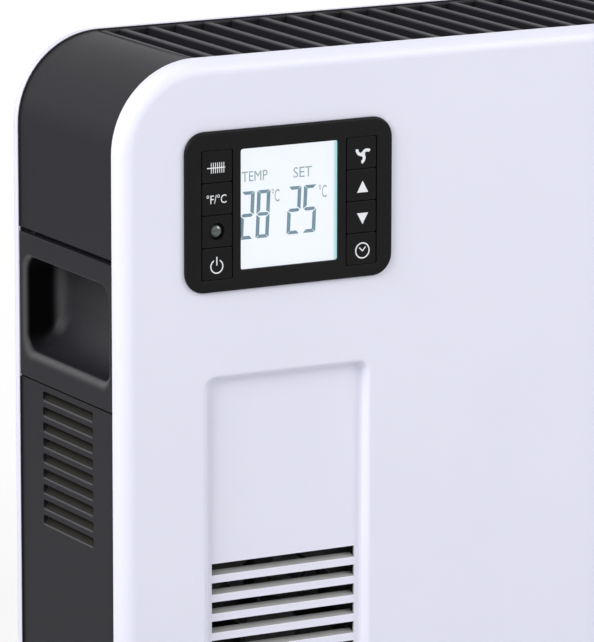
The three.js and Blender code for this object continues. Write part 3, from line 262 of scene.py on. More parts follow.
def outwards(bm):
    """Turns the faces of closed forms to the outside."""
    bmesh.ops.recalc_face_normals(bm, faces=bm.faces[:])


def close(bm):
    """Fills what is open in a drawing and turns its faces to the outside."""
    bmesh.ops.holes_fill(bm, edges=[edge for edge in bm.edges if edge.is_boundary])
    outwards(bm)
    return bm


def fill_round(bm, front, back, cuts):
    """Fills a plate's two faces round cuts, each of which is a list of rings from front to back."""
    fill(bm, front, [rings[0] for rings in cuts])
    fill(bm, back, [rings[-1] for rings in cuts])
    outwards(bm)


def solid(bm, levels, *rounded):
    """Walls through outlines, with a flat face at each end."""
    rings = walls(bm, levels, *rounded)
    fill_round(bm, rings[0], rings[-1], [])
    return bm


def post(outline, span):
    """A closed bar with the given outline between two heights."""
    return solid(bmesh.new(), [(outline, w) for w in span])


def only(kind, geom):
    return [item for item in geom if isinstance(item, kind)]


def pushed(bm, faces, vec):
    """Extrudes faces and returns the faces at the new end."""
    geom = bmesh.ops.extrude_face_region(bm, geom=faces)["geom"]
    bmesh.ops.translate(bm, vec=vec, verts=only(bmesh.types.BMVert, geom))
    return only(bmesh.types.BMFace, geom)


def object_of(name, bm):
    mesh = bpy.data.meshes.new(name)
    bm.to_mesh(mesh)
    bm.free()
    made = bpy.data.objects.new(name, mesh)
    bpy.context.scene.collection.objects.link(made)
    return made


def settle(made):
    """Applies an object's modifiers to its mesh."""
    bpy.context.view_layer.update()
    graph = bpy.context.evaluated_depsgraph_get()
    mesh = bpy.data.meshes.new_from_object(made.evaluated_get(graph))
    made.modifiers.clear()
    made.data = mesh


def redrawn(made):
    """Takes a drawing back out of an object, with its modifiers applied."""
    settle(made)
    bm = bmesh.new()
    bm.from_mesh(made.data)
    bpy.data.objects.remove(made)
    return bm


def thicken(bm, wall):
    """Turns an open skin so that its largest face looks along +w, and gives it a wall behind."""
    outwards(bm)
    if max(bm.faces, key=lambda face: face.calc_area()).normal.z < 0:
        bmesh.ops.reverse_faces(bm, faces=bm.faces[:])
    skin = object_of("skin", bm)
    shell = skin.modifiers.new("thickness", "SOLIDIFY")
    shell.thickness, shell.offset, shell.use_even_offset = wall, -1, True
    return redrawn(skin)


def joined(first, second):
    """Puts two drawings in one, without merging them."""
    mesh = bpy.data.meshes.new("joined")
    second.to_mesh(mesh)
    first.from_mesh(mesh)
    second.free()
    bpy.data.meshes.remove(mesh)
    return first


def combine(base, tool, operation="DIFFERENCE"):
    """Cuts one closed drawing out of another, or joins the two."""
    body, other = object_of("base", base), object_of("tool", tool)
    step = body.modifiers.new("combine", "BOOLEAN")
    step.operation, step.object, step.solver = operation, other, "EXACT"
    result = redrawn(body)
    bpy.data.objects.remove(other)
    return result


def turned(bm, facing):
    bmesh.ops.transform(bm, matrix=FACING[facing].to_4x4(), verts=bm.verts[:])
    return bm


def moved(bm, x, z, w):
    bmesh.ops.translate(bm, vec=(x, z, w), verts=bm.verts[:])
    return bm


def other_side(bm):
    """The mirror image on the other side of the body."""
    copy = bm.copy()
    bmesh.ops.scale(copy, vec=(-1, 1, 1), verts=copy.verts[:])
    bmesh.ops.reverse_faces(copy, faces=copy.faces[:])
    return copy


def piece(name, bm, finish, slot, stands_for=(), body="body", edge=0.0):
    """A finished piece: rounded edges, smooth shading, finish and place in the model."""
    made = object_of(name, bm)
    made.data.polygons.foreach_set("use_smooth", [True] * len(made.data.polygons))
    if edge:
        bevel = made.modifiers.new("edges", "BEVEL")
        bevel.width, bevel.segments, bevel.limit_method = edge, BEVEL_STEPS, "ANGLE"
        bevel.angle_limit = ROUND_ABOVE
    settle(made)
    made.data.set_sharp_from_angle(angle=SMOOTH_BELOW)
    weighted = made.modifiers.new("flat faces stay flat", "WEIGHTED_NORMAL")
    weighted.keep_sharp = True
    settle(made)
    made.data.materials.clear()
    made.data.materials.append(finish)
    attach(made, body)
    if stands_for:
        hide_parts(*stands_for)
    print(name, len(made.data.polygons), "faces")
    return made


def repaint(made, finish, where):
    """Gives a second finish to the faces whose centre and normal pass a test."""
    made.data.materials.append(finish)
    for polygon in made.data.polygons:
        if where(*polygon.center, polygon.normal):
            polygon.material_index = 1


def pair(name, node, bm, *look, **edge):
    """A piece on the left side and its mirror image on the right. Returns both."""
    drawings = {"left": bm, "right": other_side(bm)}
    return [
        piece(f"{name}_{side}", drawing, *look, [f"{node}_{side}"] if node else (), **edge)
        for side, drawing in drawings.items()
    ]


# %% [markdown]
# ## Shader maths
# A finish is a small graph of nodes. Writing the graph as expressions keeps it readable, so a
# socket is wrapped in a class whose operators add Math nodes.

# %% Shader maths
class Value:
    """A socket that can be used in an expression."""

    def __init__(self, graph, socket):
        self.graph, self.socket = graph, socket

    def math(self, operation, other):
        return self.graph.node("ShaderNodeMath", {"operation": operation}, {0: self, 1: other})

    def __add__(self, other):
        return self.math("ADD", other)

    def __mul__(self, other):
        return self.math("MULTIPLY", other)

    __radd__ = __add__
    __rmul__ = __mul__


class Graph:
    """A shader that is built up node by node."""

    def __init__(self, tree):
        self.tree = tree
        tree.nodes.clear()

    def feed(self, socket, value):
        if isinstance(value, Value):
            self.tree.links.new(value.socket, socket)
        elif isinstance(value, tuple) and len(value) == 3 and len(socket.default_value) == 4:
            socket.default_value = (*value, 1.0)
        else:
            socket.default_value = value

    def node(self, kind, settings=None, inputs=None, out=0):
        """Adds a node with its settings, feeds its sockets and returns one output."""
        made = self.tree.nodes.new(kind)
        for key, value in (settings or {}).items():
            setattr(made, key, value)
        for key, value in (inputs or {}).items():
            self.feed(made.inputs[key], value)
        return Value(self, made.outputs[out]) if made.outputs else None

    def choose(self, factor, first, second):
        """The first shader where the factor is 0, the second where it is 1."""
        return self.node("ShaderNodeMixShader", None, {0: factor, 1: first, 2: second})


class Finish(Graph):
    """A surface finish."""

    def __init__(self, name):
        self.material = bpy.data.materials.new(name)
        self.material.use_nodes = True
        super().__init__(self.material.node_tree)
        self.place = self.node("ShaderNodeTexCoord", out="Object")

    def noise(self, size, detail=2.0):
        """Cloudy noise with features of about the given size."""
        inputs = {"Vector": self.place, "Scale": 1 / size, "Detail": detail}
        return self.node("ShaderNodeTexNoise", None, inputs)

    def mix(self, factor, low, high):
        """A colour between two others."""
        settings = {"data_type": "RGBA", "clamp_factor": True}
        return self.node("ShaderNodeMix", settings, {0: factor, 6: low, 7: high}, out=2)

    def bump(self, height, distance, strength):
        inputs = {"Height": height, "Distance": distance, "Strength": strength}
        return self.node("ShaderNodeBump", None, inputs)

    def principled(self, **sockets):
        """A shader. Names use _ where the socket's name has a space."""
        inputs = {key.replace("_", " "): value for key, value in sockets.items()}
        return self.node("ShaderNodeBsdfPrincipled", None, inputs)

    def end(self, shader):
        """Ends the graph and returns the material."""
        self.node("ShaderNodeOutputMaterial", None, {"Surface": shader})
        return self.material

    def shade(self, **sockets):
        return self.end(self.principled(**sockets))


def clouded(name, color, gloss, relief=None, **sockets):
    """A finish that drifts between two colours. color has the clouds' size and detail and the two
    colours, gloss the least roughness, its span and the size of its changes, and relief the size,
    depth and strength of a bump."""
    made = Finish(name)
    sockets["Base_Color"] = made.mix(made.noise(*color[:2]), *color[2:])
    sockets["Roughness"] = gloss[0] + gloss[1] * made.noise(gloss[2])
    if relief:
        sockets["Normal"] = made.bump(made.noise(relief[0]), *relief[1:])
    return made.shade(**sockets)


# %% [markdown]
# ## Finishes
# The pans are powder coated. The coat is nearly white with a cool cast, a soft gloss and a skin
# that is never quite even: it has the faint ripple called orange peel.

# %% Powder coat
WHITE, WHITE_SHADE = (0.735, 0.735, 0.852), (0.70, 0.70, 0.82)
powder_coat = clouded(
    "powder_coat", (90 * MM, 3, WHITE_SHADE, WHITE), (0.34, 0.08, 6 * MM),
    (1.6 * MM, 0.02 * MM, 0.5), Specular_IOR_Level=0.45,
)
print("powder coat", WHITE)

# %% [markdown]
# The black frame, cheeks and grille are moulded in a plastic whose mould was spark eroded. That
# leaves a fine even grain that spreads highlights, and slow changes of gloss where the melt met
# the mould.

# %% Moulded blacks
GRAIN, GRAIN_DEPTH, GRAIN_STRENGTH = 0.35 * MM, 0.03 * MM, 0.6
FLOW, HIGHLIGHT_CLOUDS = 45 * MM, 7 * MM
# A near black, dead matt shader: painted shade for the deep walls of the finger cup.
PAINTED_SHADE_BLACK = {"Base_Color": (0.0012, 0.0012, 0.0014), "Roughness": 0.8, "Specular_IOR_Level": 0.02}


def moulded(name, low, high, gloss, shine, painted_highlight=None):
    """A moulded plastic: two close colours, a roughness and a fine grain. By the piece's own marks it
    may take a painted highlight, paler and smoother, and a painted shade, near black and dead matt."""
    made = Finish(name)
    flow = made.noise(FLOW, 2)
    texture = made.noise(GRAIN, 1)
    color = made.mix(flow, low, high)
    rough = gloss + 0.1 * (flow * 0.6 + texture * 0.4)
    if painted_highlight:
        mark, painted_shade = [
            made.node("ShaderNodeAttribute", {"attribute_name": layer}, out="Fac")
            for layer in ("painted_highlight", "painted_shade")
        ]
        # Painted highlight: the colour turns paler and the surface smoother where the mark is set.
        highlight_amount = mark * (0.75 + 0.5 * made.noise(HIGHLIGHT_CLOUDS, 2))
        color = made.mix(highlight_amount, color, painted_highlight)
        rough = rough + -0.12 * highlight_amount
    shader = made.principled(
        Base_Color=color, Roughness=rough, Specular_IOR_Level=shine,
        Normal=made.bump(texture, GRAIN_DEPTH, GRAIN_STRENGTH),
    )
    if painted_highlight:
        # Painted shade: near black and matt where the shade mark is set.
        shader = made.choose(painted_shade, shader, made.principled(**PAINTED_SHADE_BLACK))
    return made.end(shader)


BLACK = ((0.0108, 0.0104, 0.0140), (0.0140, 0.0136, 0.0175))
black_plastic = moulded("black_plastic", *BLACK, 0.42, 0.15)
# Painted highlight for the lit lower edge of each louvre.
sill_painted_highlight = moulded("sill_painted_highlight", (0.056, 0.055, 0.059), (0.074, 0.073, 0.077), 0.38, 0.2)
# Painted light: a paler, warmer black for the lit upper faces of the ramps.
ramp_painted_light = moulded("ramp_painted_light", (0.0135, 0.0127, 0.0100), (0.0175, 0.0164, 0.0130), 0.42, 0.15)
# The grip's black has a painted highlight on the cup's mouth, floor and bend, and painted shade on its
# deep walls.
grip_black_painted_light = moulded("grip_black_painted_light", *BLACK, 0.42, 0.15, painted_highlight=(0.066, 0.066, 0.069))
panel_black = moulded("panel_black", (0.0070, 0.0070, 0.0073), (0.0085, 0.0085, 0.0088), 0.36, 0.10)
key_black = moulded("key_black", (0.0075, 0.0075, 0.0080), (0.0090, 0.0090, 0.0095), 0.40, 0.08)
grey_plastic = moulded("grey_plastic", (0.018, 0.018, 0.019), (0.026, 0.026, 0.028), 0.5, 0.3)
print("seven moulded plastics")

# %% [markdown]
# Metals: galvanised sheet with its spangle inside, rolled aluminium, and zinc plate on the screws.
# The bent tongues of the front pan's slots are painted a dull grey, darker than the coat: painted
# shade for the inside of the slots.

# %% Metals
def spangled(name, dark, pale, grain, gloss):
    """Zinc crystals: each cell of a Voronoi pattern is one crystal with its own tone."""
    made = Finish(name)
    inputs = {"Vector": made.place, "Scale": 1 / grain}
    crystal = made.node("ShaderNodeTexVoronoi", None, inputs, out="Color")
    tone = made.node("ShaderNodeSeparateColor", None, {0: crystal})
    return made.shade(
        Base_Color=made.mix(tone, dark, pale),
        Metallic=1.0,
        Roughness=gloss + 0.15 * tone,
        Normal=made.bump(made.noise(1.2 * MM), 0.01 * MM, 0.4),
    )


# Painted shade: a dull grey for the tongues inside the front slots.
tongue_shade_grey = clouded(
    "tongue_shade_grey", (5 * MM, 3, (0.30, 0.30, 0.30), (0.38, 0.38, 0.38)), (0.5, 0.15, 1 * MM),
    Specular_IOR_Level=0.2,
)
galvanised = spangled("galvanised", (0.44, 0.46, 0.48), (0.60, 0.62, 0.64), 7 * MM, 0.35)
zinc = spangled("zinc_plate", (0.58, 0.59, 0.60), (0.68, 0.68, 0.68), 1.1 * MM, 0.24)

STREAKS = (60.0, 900.0, 900.0)
rolled = Finish("rolled_aluminium")
stretch = rolled.node("ShaderNodeMapping", None, {"Vector": rolled.place, "Scale": STREAKS})
streak = rolled.node("ShaderNodeTexNoise", None, {"Vector": stretch, "Scale": 1.0, "Detail": 3.0})
aluminium = rolled.shade(
    Base_Color=rolled.mix(streak, (0.66, 0.67, 0.69), (0.80, 0.81, 0.82)),
    Metallic=1.0,
    Roughness=0.28 + 0.2 * streak,
    Normal=rolled.bump(streak, 0.01 * MM, 0.5),
)
print("four metals")

# %% [markdown]
# Ceramic bushes are chalky, and the circuit boards have tracks under a green resist.

# %% Ceramic and circuit board
ceramic = clouded(
    "ceramic", (3 * MM, 4, (0.70, 0.67, 0.60), (0.80, 0.78, 0.72)), (0.62, 0.2, 0.8 * MM),
    (0.5 * MM, 0.03 * MM, 0.5),
)

resist = Finish("circuit_board")
track = resist.node("ShaderNodeTexBrick", None, {
    "Vector": resist.place, "Color1": (1.0, 1.0, 1.0), "Color2": (0.6, 0.6, 0.6),
    "Mortar": (0.0, 0.0, 0.0), "Scale": 90.0, "Mortar Size": 0.035,
}, out="Fac")
circuit_board = resist.shade(
    Base_Color=resist.mix(track, (0.018, 0.10, 0.045), (0.035, 0.17, 0.08)),
    Roughness=0.34 + 0.15 * resist.noise(4 * MM),
    Normal=resist.bump(track, 0.035 * MM, 0.7),
    Specular_IOR_Level=0.5,
)
print("ceramic and board")

# %% [markdown]
# The display is a backlit liquid crystal: an almost white, faintly blue field that gives its own
# light, with dim blue-grey segments. At its right edge the light falls off, with a cyan tinge.

# %% Display finishes
DISPLAY_X, DISPLAY_Z = middle_of("display_window")
DISPLAY_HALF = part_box("display_window")[1].x - DISPLAY_X
EDGE_TINGE = (DISPLAY_HALF - 2.9 * MM, DISPLAY_HALF - 1.3 * MM)

lit = Finish("display_light")
centred = lit.node("ShaderNodeMapping", None, {
    "Vector": lit.place, "Location": (-DISPLAY_X, 0.0, -DISPLAY_Z),
})
across = lit.node("ShaderNodeSeparateXYZ", None, {0: centred})
rim = lit.node("ShaderNodeMapRange", {"interpolation_type": "SMOOTHSTEP"}, {
    "Value": across, "From Min": EDGE_TINGE[0], "From Max": EDGE_TINGE[1],
})
display_light = lit.shade(
    Base_Color=(0.05, 0.055, 0.06),
    Roughness=0.4,
    Emission_Color=lit.mix(rim, (0.82, 0.865, 0.92), (0.40, 0.70, 0.73)),
    Emission_Strength=1.0,
)


def crystal_ink(name, color, size, low, high):
    """Dim segments that the light behind them shines through."""
    ink = Finish(name)
    glow = ink.mix(ink.noise(size), low, high)
    return ink.shade(Base_Color=color, Roughness=0.4, Emission_Color=glow, Emission_Strength=1.0)


display_ink = crystal_ink(
    "display_segments", (0.05, 0.08, 0.10), 9 * MM, (0.085, 0.145, 0.185), (0.125, 0.200, 0.250),
)
display_faint = crystal_ink(
    "display_labels", (0.08, 0.10, 0.11), 3 * MM, (0.17, 0.23, 0.25), (0.24, 0.30, 0.32),
)

pane = Finish("clear_pane")
clear_pane = pane.shade(
    Base_Color=(1.0, 1.0, 1.0),
    Roughness=0.02 + 0.02 * pane.noise(20 * MM),
    Transmission_Weight=1.0,
    IOR=1.1,
)
smoked_lens = clouded(
    "smoked_lens", (3 * MM, 2, (0.030, 0.045, 0.042), (0.050, 0.070, 0.064)),
    (0.08, 0.05, 2 * MM), Coat_Weight=1.0, Coat_Roughness=0.04,
)
symbol_white = clouded(
    "printed_white", (0.8 * MM, 2, (0.70, 0.71, 0.74), (0.80, 0.81, 0.83)), (0.5, 0.1, 0.5 * MM),
)
print("display and symbol finishes")

# %% [markdown]
# ## Front pan
# The front is one pressed steel pan. Its rim runs back 9 mm and turns into the face over an 8 mm
# radius. Two recesses are pressed into it, and the fan outlets are lanced into their floors: each
# slot's metal isn't cut away but bent in and up, as a tongue that hides the inside.
#
# It could be a box with cuts. It is drawn here as a single skin instead, ring by ring, and then
# given a thickness, because that is how sheet metal looks: every edge is a bend of the same skin.

# %% Pans
PAN_STEPS, FILLET_STEPS, PRESS_STEPS = 20, 10, 4
BODY = Outline((-SIDE_X, SIDE_X), (0.0, HEIGHT), CORNER, PAN_STEPS)


def pan(bm, face, rim, fillet):
    """A pan's rim and rounded edge. Returns the ring inside which its face is flat."""
    levels = [(BODY, face - rim), (BODY, face), (BODY.grow(-fillet - CUT / 5), face)]
    return walls(bm, levels, (1, fillet, FILLET_STEPS))[-1]


def press(bm, outline, face, depth, draft, lip_bend, bend, land):
    """A recess pressed in from w = face. Returns its ring in the face and its ring in the floor."""
    floor = face - depth
    levels = [
        (outline.grow(lip_bend + land), face), (outline, face),
        (outline.grow(-draft), floor), (outline.grow(-draft - bend - land / 4), floor),
    ]
    return walls(bm, levels, (1, lip_bend, PRESS_STEPS), (2, bend, PRESS_STEPS))[::3]


# %% Outlet slots
OUTLET_FROM_SIDE, SLOT_WIDTH, SLOT_HEIGHT, SLOT_PITCH = mm(95, 82.6, 6.4, 10.07)
SLOT_COUNT = 9
SLOT_TOP = HEIGHT - 259.9 * MM
SLOTS_BOTTOM = SLOT_TOP - (SLOT_COUNT - 1) * SLOT_PITCH - SLOT_HEIGHT
RECESS_TOP = HEIGHT - 162.1 * MM
RECESS_MARGIN, RECESS_FOOT, RECESS_DEPTH, RECESS_CORNER = mm(5.9, 7.1, 4.6, 6)
RECESS_DRAFT, RECESS_LIP, RECESS_BEND = mm(2.5, 1.1, 1.5)
TAB_REACH, TAB_BEND = mm(5, 0.5)
TAB_TILT, TAB_STEPS = math.radians(20), 5


def lanced_slot(bm, middle, foot, face):
    """One slot with the tongue that was lanced out of it. Returns the slot's ring."""
    slot = Outline(about(middle, SLOT_WIDTH), (foot, foot + SLOT_HEIGHT)).ring(bm, face)
    root = min(slot, key=lambda edge: edge.verts[0].co.y + edge.verts[1].co.y)
    bent = bmesh.ops.spin(
        bm, geom=[root, *root.verts], cent=(middle, foot, face - TAB_BEND), axis=(1, 0, 0),
        angle=TAB_TILT - math.pi / 2, steps=TAB_STEPS,
    )["geom_last"]
    tongue = bmesh.ops.extrude_edge_only(bm, edges=only(bmesh.types.BMEdge, bent))["geom"]
    inwards = Vector((0, math.sin(TAB_TILT), -math.cos(TAB_TILT))) * (TAB_REACH - TAB_BEND)
    bmesh.ops.translate(bm, vec=inwards, verts=only(bmesh.types.BMVert, tongue))
    return slot


# %% Front pan
BEZEL_CORNER, BEZEL_FLANGE = mm(11, 3)
BEZEL = front_view("bezel", radius=BEZEL_CORNER, steps=8)
BARE_FROM = FRONT_Y + RECESS_DEPTH + 0.1 * MM


def on_tongue(x, y, z, normal):
    beside = abs(abs(x) - SIDE_X + OUTLET_FROM_SIDE) < SLOT_WIDTH / 2 + TAB_BEND
    return beside and SLOTS_BOTTOM - TAB_BEND < z < SLOT_TOP + TAB_BEND and y > BARE_FROM


skin = bmesh.new()
face = -FRONT_Y
flat = pan(skin, face, FRONT_RIM, FRONT_FILLET)
openings = [BEZEL.grow(-BEZEL_FLANGE).ring(skin, face)]
for middle in (OUTLET_FROM_SIDE - SIDE_X, SIDE_X - OUTLET_FROM_SIDE):
    recess_u = about(middle, SLOT_WIDTH + 2 * RECESS_MARGIN)
    recess = Outline(recess_u, (SLOTS_BOTTOM - RECESS_FOOT, RECESS_TOP), RECESS_CORNER)
    bends = (RECESS_DRAFT, RECESS_LIP, RECESS_BEND)
    mouth, floor = press(skin, recess, face, RECESS_DEPTH, *bends, CUT)
    openings.append(mouth)
    feet = [SLOT_TOP - i * SLOT_PITCH - SLOT_HEIGHT for i in range(SLOT_COUNT)]
    fill(skin, floor, [lanced_slot(skin, middle, foot, face - RECESS_DEPTH) for foot in feet])
fill(skin, flat, openings)
skin = turned(thicken(skin, SHEET), "front")
front = piece("white_front", skin, powder_coat, "white_paint", ["front_panel"])
# The slot tongues take the grey of painted shade.
repaint(front, tongue_shade_grey, on_tongue)

# %% [markdown]
# ## Back pan
# The back is the same kind of pan, with a smaller radius. It carries six dimples that sink the
# screw heads below its face, air inlets, and two keyholes to hang the heater on.

# %% Back pan
SCREW_INSET, SCREW_FROM_END, FIN_DEPTH = mm(12, 70, 14)
DIMPLE_RADIUS, DIMPLE_DEPTH, DIMPLE_BEND, SHANK_RADIUS = mm(6, 3, 0.5, 1.7)
KEYHOLE_X, KEYHOLE_Z, KEYHOLE_HEAD, KEYHOLE_NECK, KEYHOLE_RISE = mm(200, 330, 5, 2.5, 12)
INLET_COLUMNS, INLET_ROWS, ALMOST = 4, 4, 0.99
INLET_SPACING, INLET_PITCH, INLET_BOTTOM = mm(110, 14, 48)
INLET_WIDTH, INLET_HEIGHT, INLET_CORNER = mm(80, 5, 2)
SCREW_X, SCREW_Z = SIDE_X - SCREW_INSET, HEIGHT - SCREW_FROM_END
SCREWS = {
    "upper_left": (-SCREW_X, SCREW_Z), "upper_right": (SCREW_X, SCREW_Z),
    "lower_left": (-SCREW_X, SCREW_FROM_END), "lower_right": (SCREW_X, SCREW_FROM_END),
    "top": (0.0, HEIGHT - FIN_DEPTH - SCREW_INSET), "bottom": (0.0, SCREW_INSET),
}

skin = bmesh.new()
flat = pan(skin, BACK_Y, BACK_RIM, BACK_FILLET)
openings = []
for x, z in SCREWS.values():
    dimple = disc(-x, z, DIMPLE_RADIUS, 8)
    mouth, floor = press(skin, dimple, BACK_Y, DIMPLE_DEPTH, *[DIMPLE_BEND] * 3, CUT / 5)
    openings.append(mouth)
    fill(skin, floor, [disc(-x, z, SHANK_RADIUS + GAP, 6).ring(skin, BACK_Y - DIMPLE_DEPTH)])
for column in range(INLET_COLUMNS):
    inlet_u = about((column - (INLET_COLUMNS - 1) / 2) * INLET_SPACING, INLET_WIDTH)
    for row in range(INLET_ROWS):
        z = INLET_BOTTOM + row * INLET_PITCH
        inlet = Outline(inlet_u, (z, z + INLET_HEIGHT), INLET_CORNER, 4)
        openings.append(inlet.ring(skin, BACK_Y))
fill(skin, flat, openings)
skin = thicken(skin, SHEET)
for x in (-KEYHOLE_X, KEYHOLE_X):
    through = (BACK_Y - SHEET - CUT, BACK_Y + CUT)
    neck_v = (KEYHOLE_Z - KEYHOLE_NECK, KEYHOLE_Z + KEYHOLE_RISE + KEYHOLE_NECK)
    neck = Outline(about(x, 2 * KEYHOLE_NECK), neck_v, KEYHOLE_NECK * ALMOST)
    for hole in (disc(x, KEYHOLE_Z, KEYHOLE_HEAD, 8), neck):
        skin = combine(skin, post(hole, through))
piece("white_back", turned(skin, "back"), powder_coat, "white_paint", ["back_panel"])

# %% [markdown]
# ## Cheeks
# The cheeks are one moulded section that runs up the side and round the corner. Its section has a
# tongue at each edge that reaches into the pans. A section that follows a path is what the spin
# and extrude operators do, so the section is drawn once and taken along the path.

# %% Frame section
BEAD, BEAD_INSET, MERGE = mm(0.8, 0.1, 0.001)
ARC_STEPS = 24
FRAME_INNER = FRAME_INSET + FRAME_WALL
SECTION = (
    (FRAME_FRONT, FRAME_INSET), (FRAME_BACK - BEAD, FRAME_INSET),
    (FRAME_BACK - BEAD, BEAD_INSET), (FRAME_BACK, BEAD_INSET),
    (FRAME_BACK, TONGUE_INSET), (TONGUES[1][1], TONGUE_INSET),
    (TONGUES[1][1], FRAME_INNER), (TONGUES[0][0], FRAME_INNER),
    (TONGUES[0][0], TONGUE_INSET), (FRAME_FRONT, TONGUE_INSET),
)


def cheek(start, corner_z, way):
    """The frame's section from a height on the left side, round a corner, to the grille or tray.
    way is 1 for the upper corner and -1 for the lower one."""
    bm = bmesh.new()
    verts = [bm.verts.new((-SIDE_X + inset, y, start)) for y, inset in SECTION]
    bm.faces.new(verts)
    soften(bm, verts[:1], EDGE_ROUND, EDGE_ROUND_STEPS, "VERTICES")
    end, = pushed(bm, bm.faces[:], (0, 0, corner_z - start))
    bent = bmesh.ops.spin(
        bm, geom=[end, *end.edges, *end.verts], cent=(CORNER - SIDE_X, 0, corner_z),
        axis=(0, 1, 0), angle=way * math.pi / 2, steps=ARC_STEPS,
    )["geom_last"]
    pushed(bm, only(bmesh.types.BMFace, bent), (SIDE_X - CORNER - GRILLE_HALF - GAP, 0, 0))
    close(bm)
    bmesh.ops.remove_doubles(bm, verts=bm.verts[:], dist=MERGE)
    outwards(bm)
    return bm


# %% Upper cheeks
GRIP_TOP = HEIGHT - 102.5 * MM
GRIP_FOOT = GRIP_TOP - 74.5 * MM
GRIP_CREST, GRIP_GROOVE, GRIP_SEAM, SEAM = mm(1, 2.4, 0.8, 0.35)
upper = cheek(GRIP_TOP + GRIP_CREST + GRIP_GROOVE, HEIGHT - CORNER, 1)
pair("side_upper", "upper_cheek", upper, black_plastic, "black_plastic", edge=SEAM)

# %% [markdown]
# ## Louvres
# The lower cheek has nine slots with rounded corners. Behind each one a ramp rises inwards, so that
# nothing can drop or be pushed straight in. The slots are cut with one tool of nine bars, and the
# ramps are a short section repeated down the cheek. A thin paler strip along each slot's foot is a
# painted highlight, and the ramps' upper faces are painted a paler, warmer black for the light
# that falls on them.

# %% Lower cheeks
LOUVRE_COUNT = 9
LOUVRE_PITCH, LOUVRE_HEIGHT, LOUVRE_LENGTH, LOUVRE_CORNER = mm(8.15, 4.4, 57.7, 1.4)
LOUVRE_FRONT_MARGIN, LOUVRE_TOP_MARGIN, LOUVRE_EDGE = mm(23, 4, 0.4)
VANE, VANE_REACH, VANE_SINK = mm(1.2, 5, 0.4)
SILL_FROM_END, SILL_FOOT, SILL_TOP, SILL_ROOT, SILL_PROUD, SILL_EDGE = mm(
    0.9, 1.1, 0.05, 1, 0.12, 0.25,
)
RAMP_FROM = SIDE_X - 1.2 * MM
LOUVRE_Y = (FRAME_FRONT + LOUVRE_FRONT_MARGIN, FRAME_FRONT + LOUVRE_FRONT_MARGIN + LOUVRE_LENGTH)


# The ramps' upper faces, which take the painted light.
def on_ramp(x, y, z, normal):
    return normal.z > 0.5 and LOUVRE_Y[0] < y < LOUVRE_Y[1] and abs(x) < RAMP_FROM


outer = SIDE_X - FRAME_INSET
sill, rise = -SIDE_X + FRAME_INSET + VANE_SINK, VANE_REACH - VANE
slots, ramps, sill_highlights = bmesh.new(), bmesh.new(), bmesh.new()
for i in range(LOUVRE_COUNT):
    top = GRIP_FOOT - LOUVRE_TOP_MARGIN - i * LOUVRE_PITCH
    foot = top - LOUVRE_HEIGHT
    opening = Outline((-LOUVRE_Y[1], -LOUVRE_Y[0]), (foot, top), LOUVRE_CORNER, 5)
    slots = joined(slots, turned(post(opening, (outer - FRAME_WALL - CUT, SIDE_X + CUT)), "left"))
    # Each slot's strip of painted highlight along its foot.
    sill_v, sill_w = (foot - SILL_FOOT, foot - SILL_TOP), (outer - SILL_ROOT, outer + SILL_PROUD)
    slab(sill_highlights, opening.grow(-SILL_FROM_END).u, sill_v, sill_w)
    section = (
        (sill, foot - VANE), (sill + VANE, foot - VANE),
        (sill + VANE_REACH + VANE, foot - VANE + rise), (sill + VANE_REACH, foot + rise),
        (sill, foot),
    )
    verts = [ramps.verts.new((x, LOUVRE_Y[0], z)) for x, z in section]
    pushed(ramps, [ramps.faces.new(verts)], (0, LOUVRE_LENGTH, 0))
lower = combine(cheek(GRIP_FOOT - GRIP_SEAM, CORNER, -1), slots)
lower = combine(lower, close(ramps), "UNION")
look = (black_plastic, "black_plastic")
for made in pair("side_louvres", "lower_cheek", lower, *look, edge=LOUVRE_EDGE):
    # Painted light on the ramps' upper faces.
    repaint(made, ramp_painted_light, on_ramp)
# The strips of painted highlight under the louvres.
pair("louvre_sill_highlights", None, turned(sill_highlights, "left"), sill_painted_highlight, "black_plastic", edge=SILL_EDGE)

# %% [markdown]
# ## Grips
# Between the cheeks sits a separate moulding with a finger cup. The cup has a rounded mouth, walls
# with a slight draft, and a floor that comes up to the mouth's lower edge in one wide curve, which
# leads the fingers in. It is lofted from rings that get deeper and narrower. As a moulding it is a
# skin with a thickness: the cup shows on the inside too.

# %% Grips
GRIP_PROUD, GRIP_WALL = mm(0.6, 2)
LIP_WALL, LIP_LAP, LIP_ROOT, LIP_SETBACK, LIP_SINK = mm(1.5, 8, 4, 4, 4.5)
CUP_DEPTH, CUP_CORNER, CUP_BEND, CUP_SCOOP, FLOOR_CORNER = mm(21, 9, 7, 24, 7)
CUP_DRAFT, ROLL_U, ROLL_V, ROLL_DEPTH = mm(4, 2), mm(4.6, 2.6), mm(5.5, 1.6), 3.2 * MM
CUP_STEPS, ROLL_STEPS = 16, 7
# How strongly the cup's floor and its bend take the painted highlight, and how far it spreads to the
# sides.
FLOOR_HIGHLIGHT, BEND_HIGHLIGHT, HIGHLIGHT_SPREAD = 0.2, 0.7, 1.8
CUP_U = (-FRAME_BACK + 6.4 * MM, -FRAME_FRONT - 5 * MM)
CUP_V = (GRIP_FOOT + 14.5 * MM, GRIP_TOP - 11 * MM)

skin = bmesh.new()
# Vertex marks for the cup's painted highlight and painted shade.
highlight_layer, painted_shade = [skin.verts.layers.float.new(name) for name in ("painted_highlight", "painted_shade")]


def marked_ring(outline, w, highlight_amount, side_highlight, shade_amount):
    """A ring of the cup with its painted marks: a painted highlight all round, and a stronger
    painted highlight and a painted shade at its sides.
    """
    ring = outline.ring(skin, w)
    for vert in points(ring):
        inset = min(vert.co.x - outline.u[0], outline.u[1] - vert.co.x)
        beside = max(0.0, 1 - inset / outline.radius)
        vert[highlight_layer] = highlight_amount + side_highlight * min(1.0, HIGHLIGHT_SPREAD * beside)
        vert[painted_shade] = shade_amount * beside
    return ring


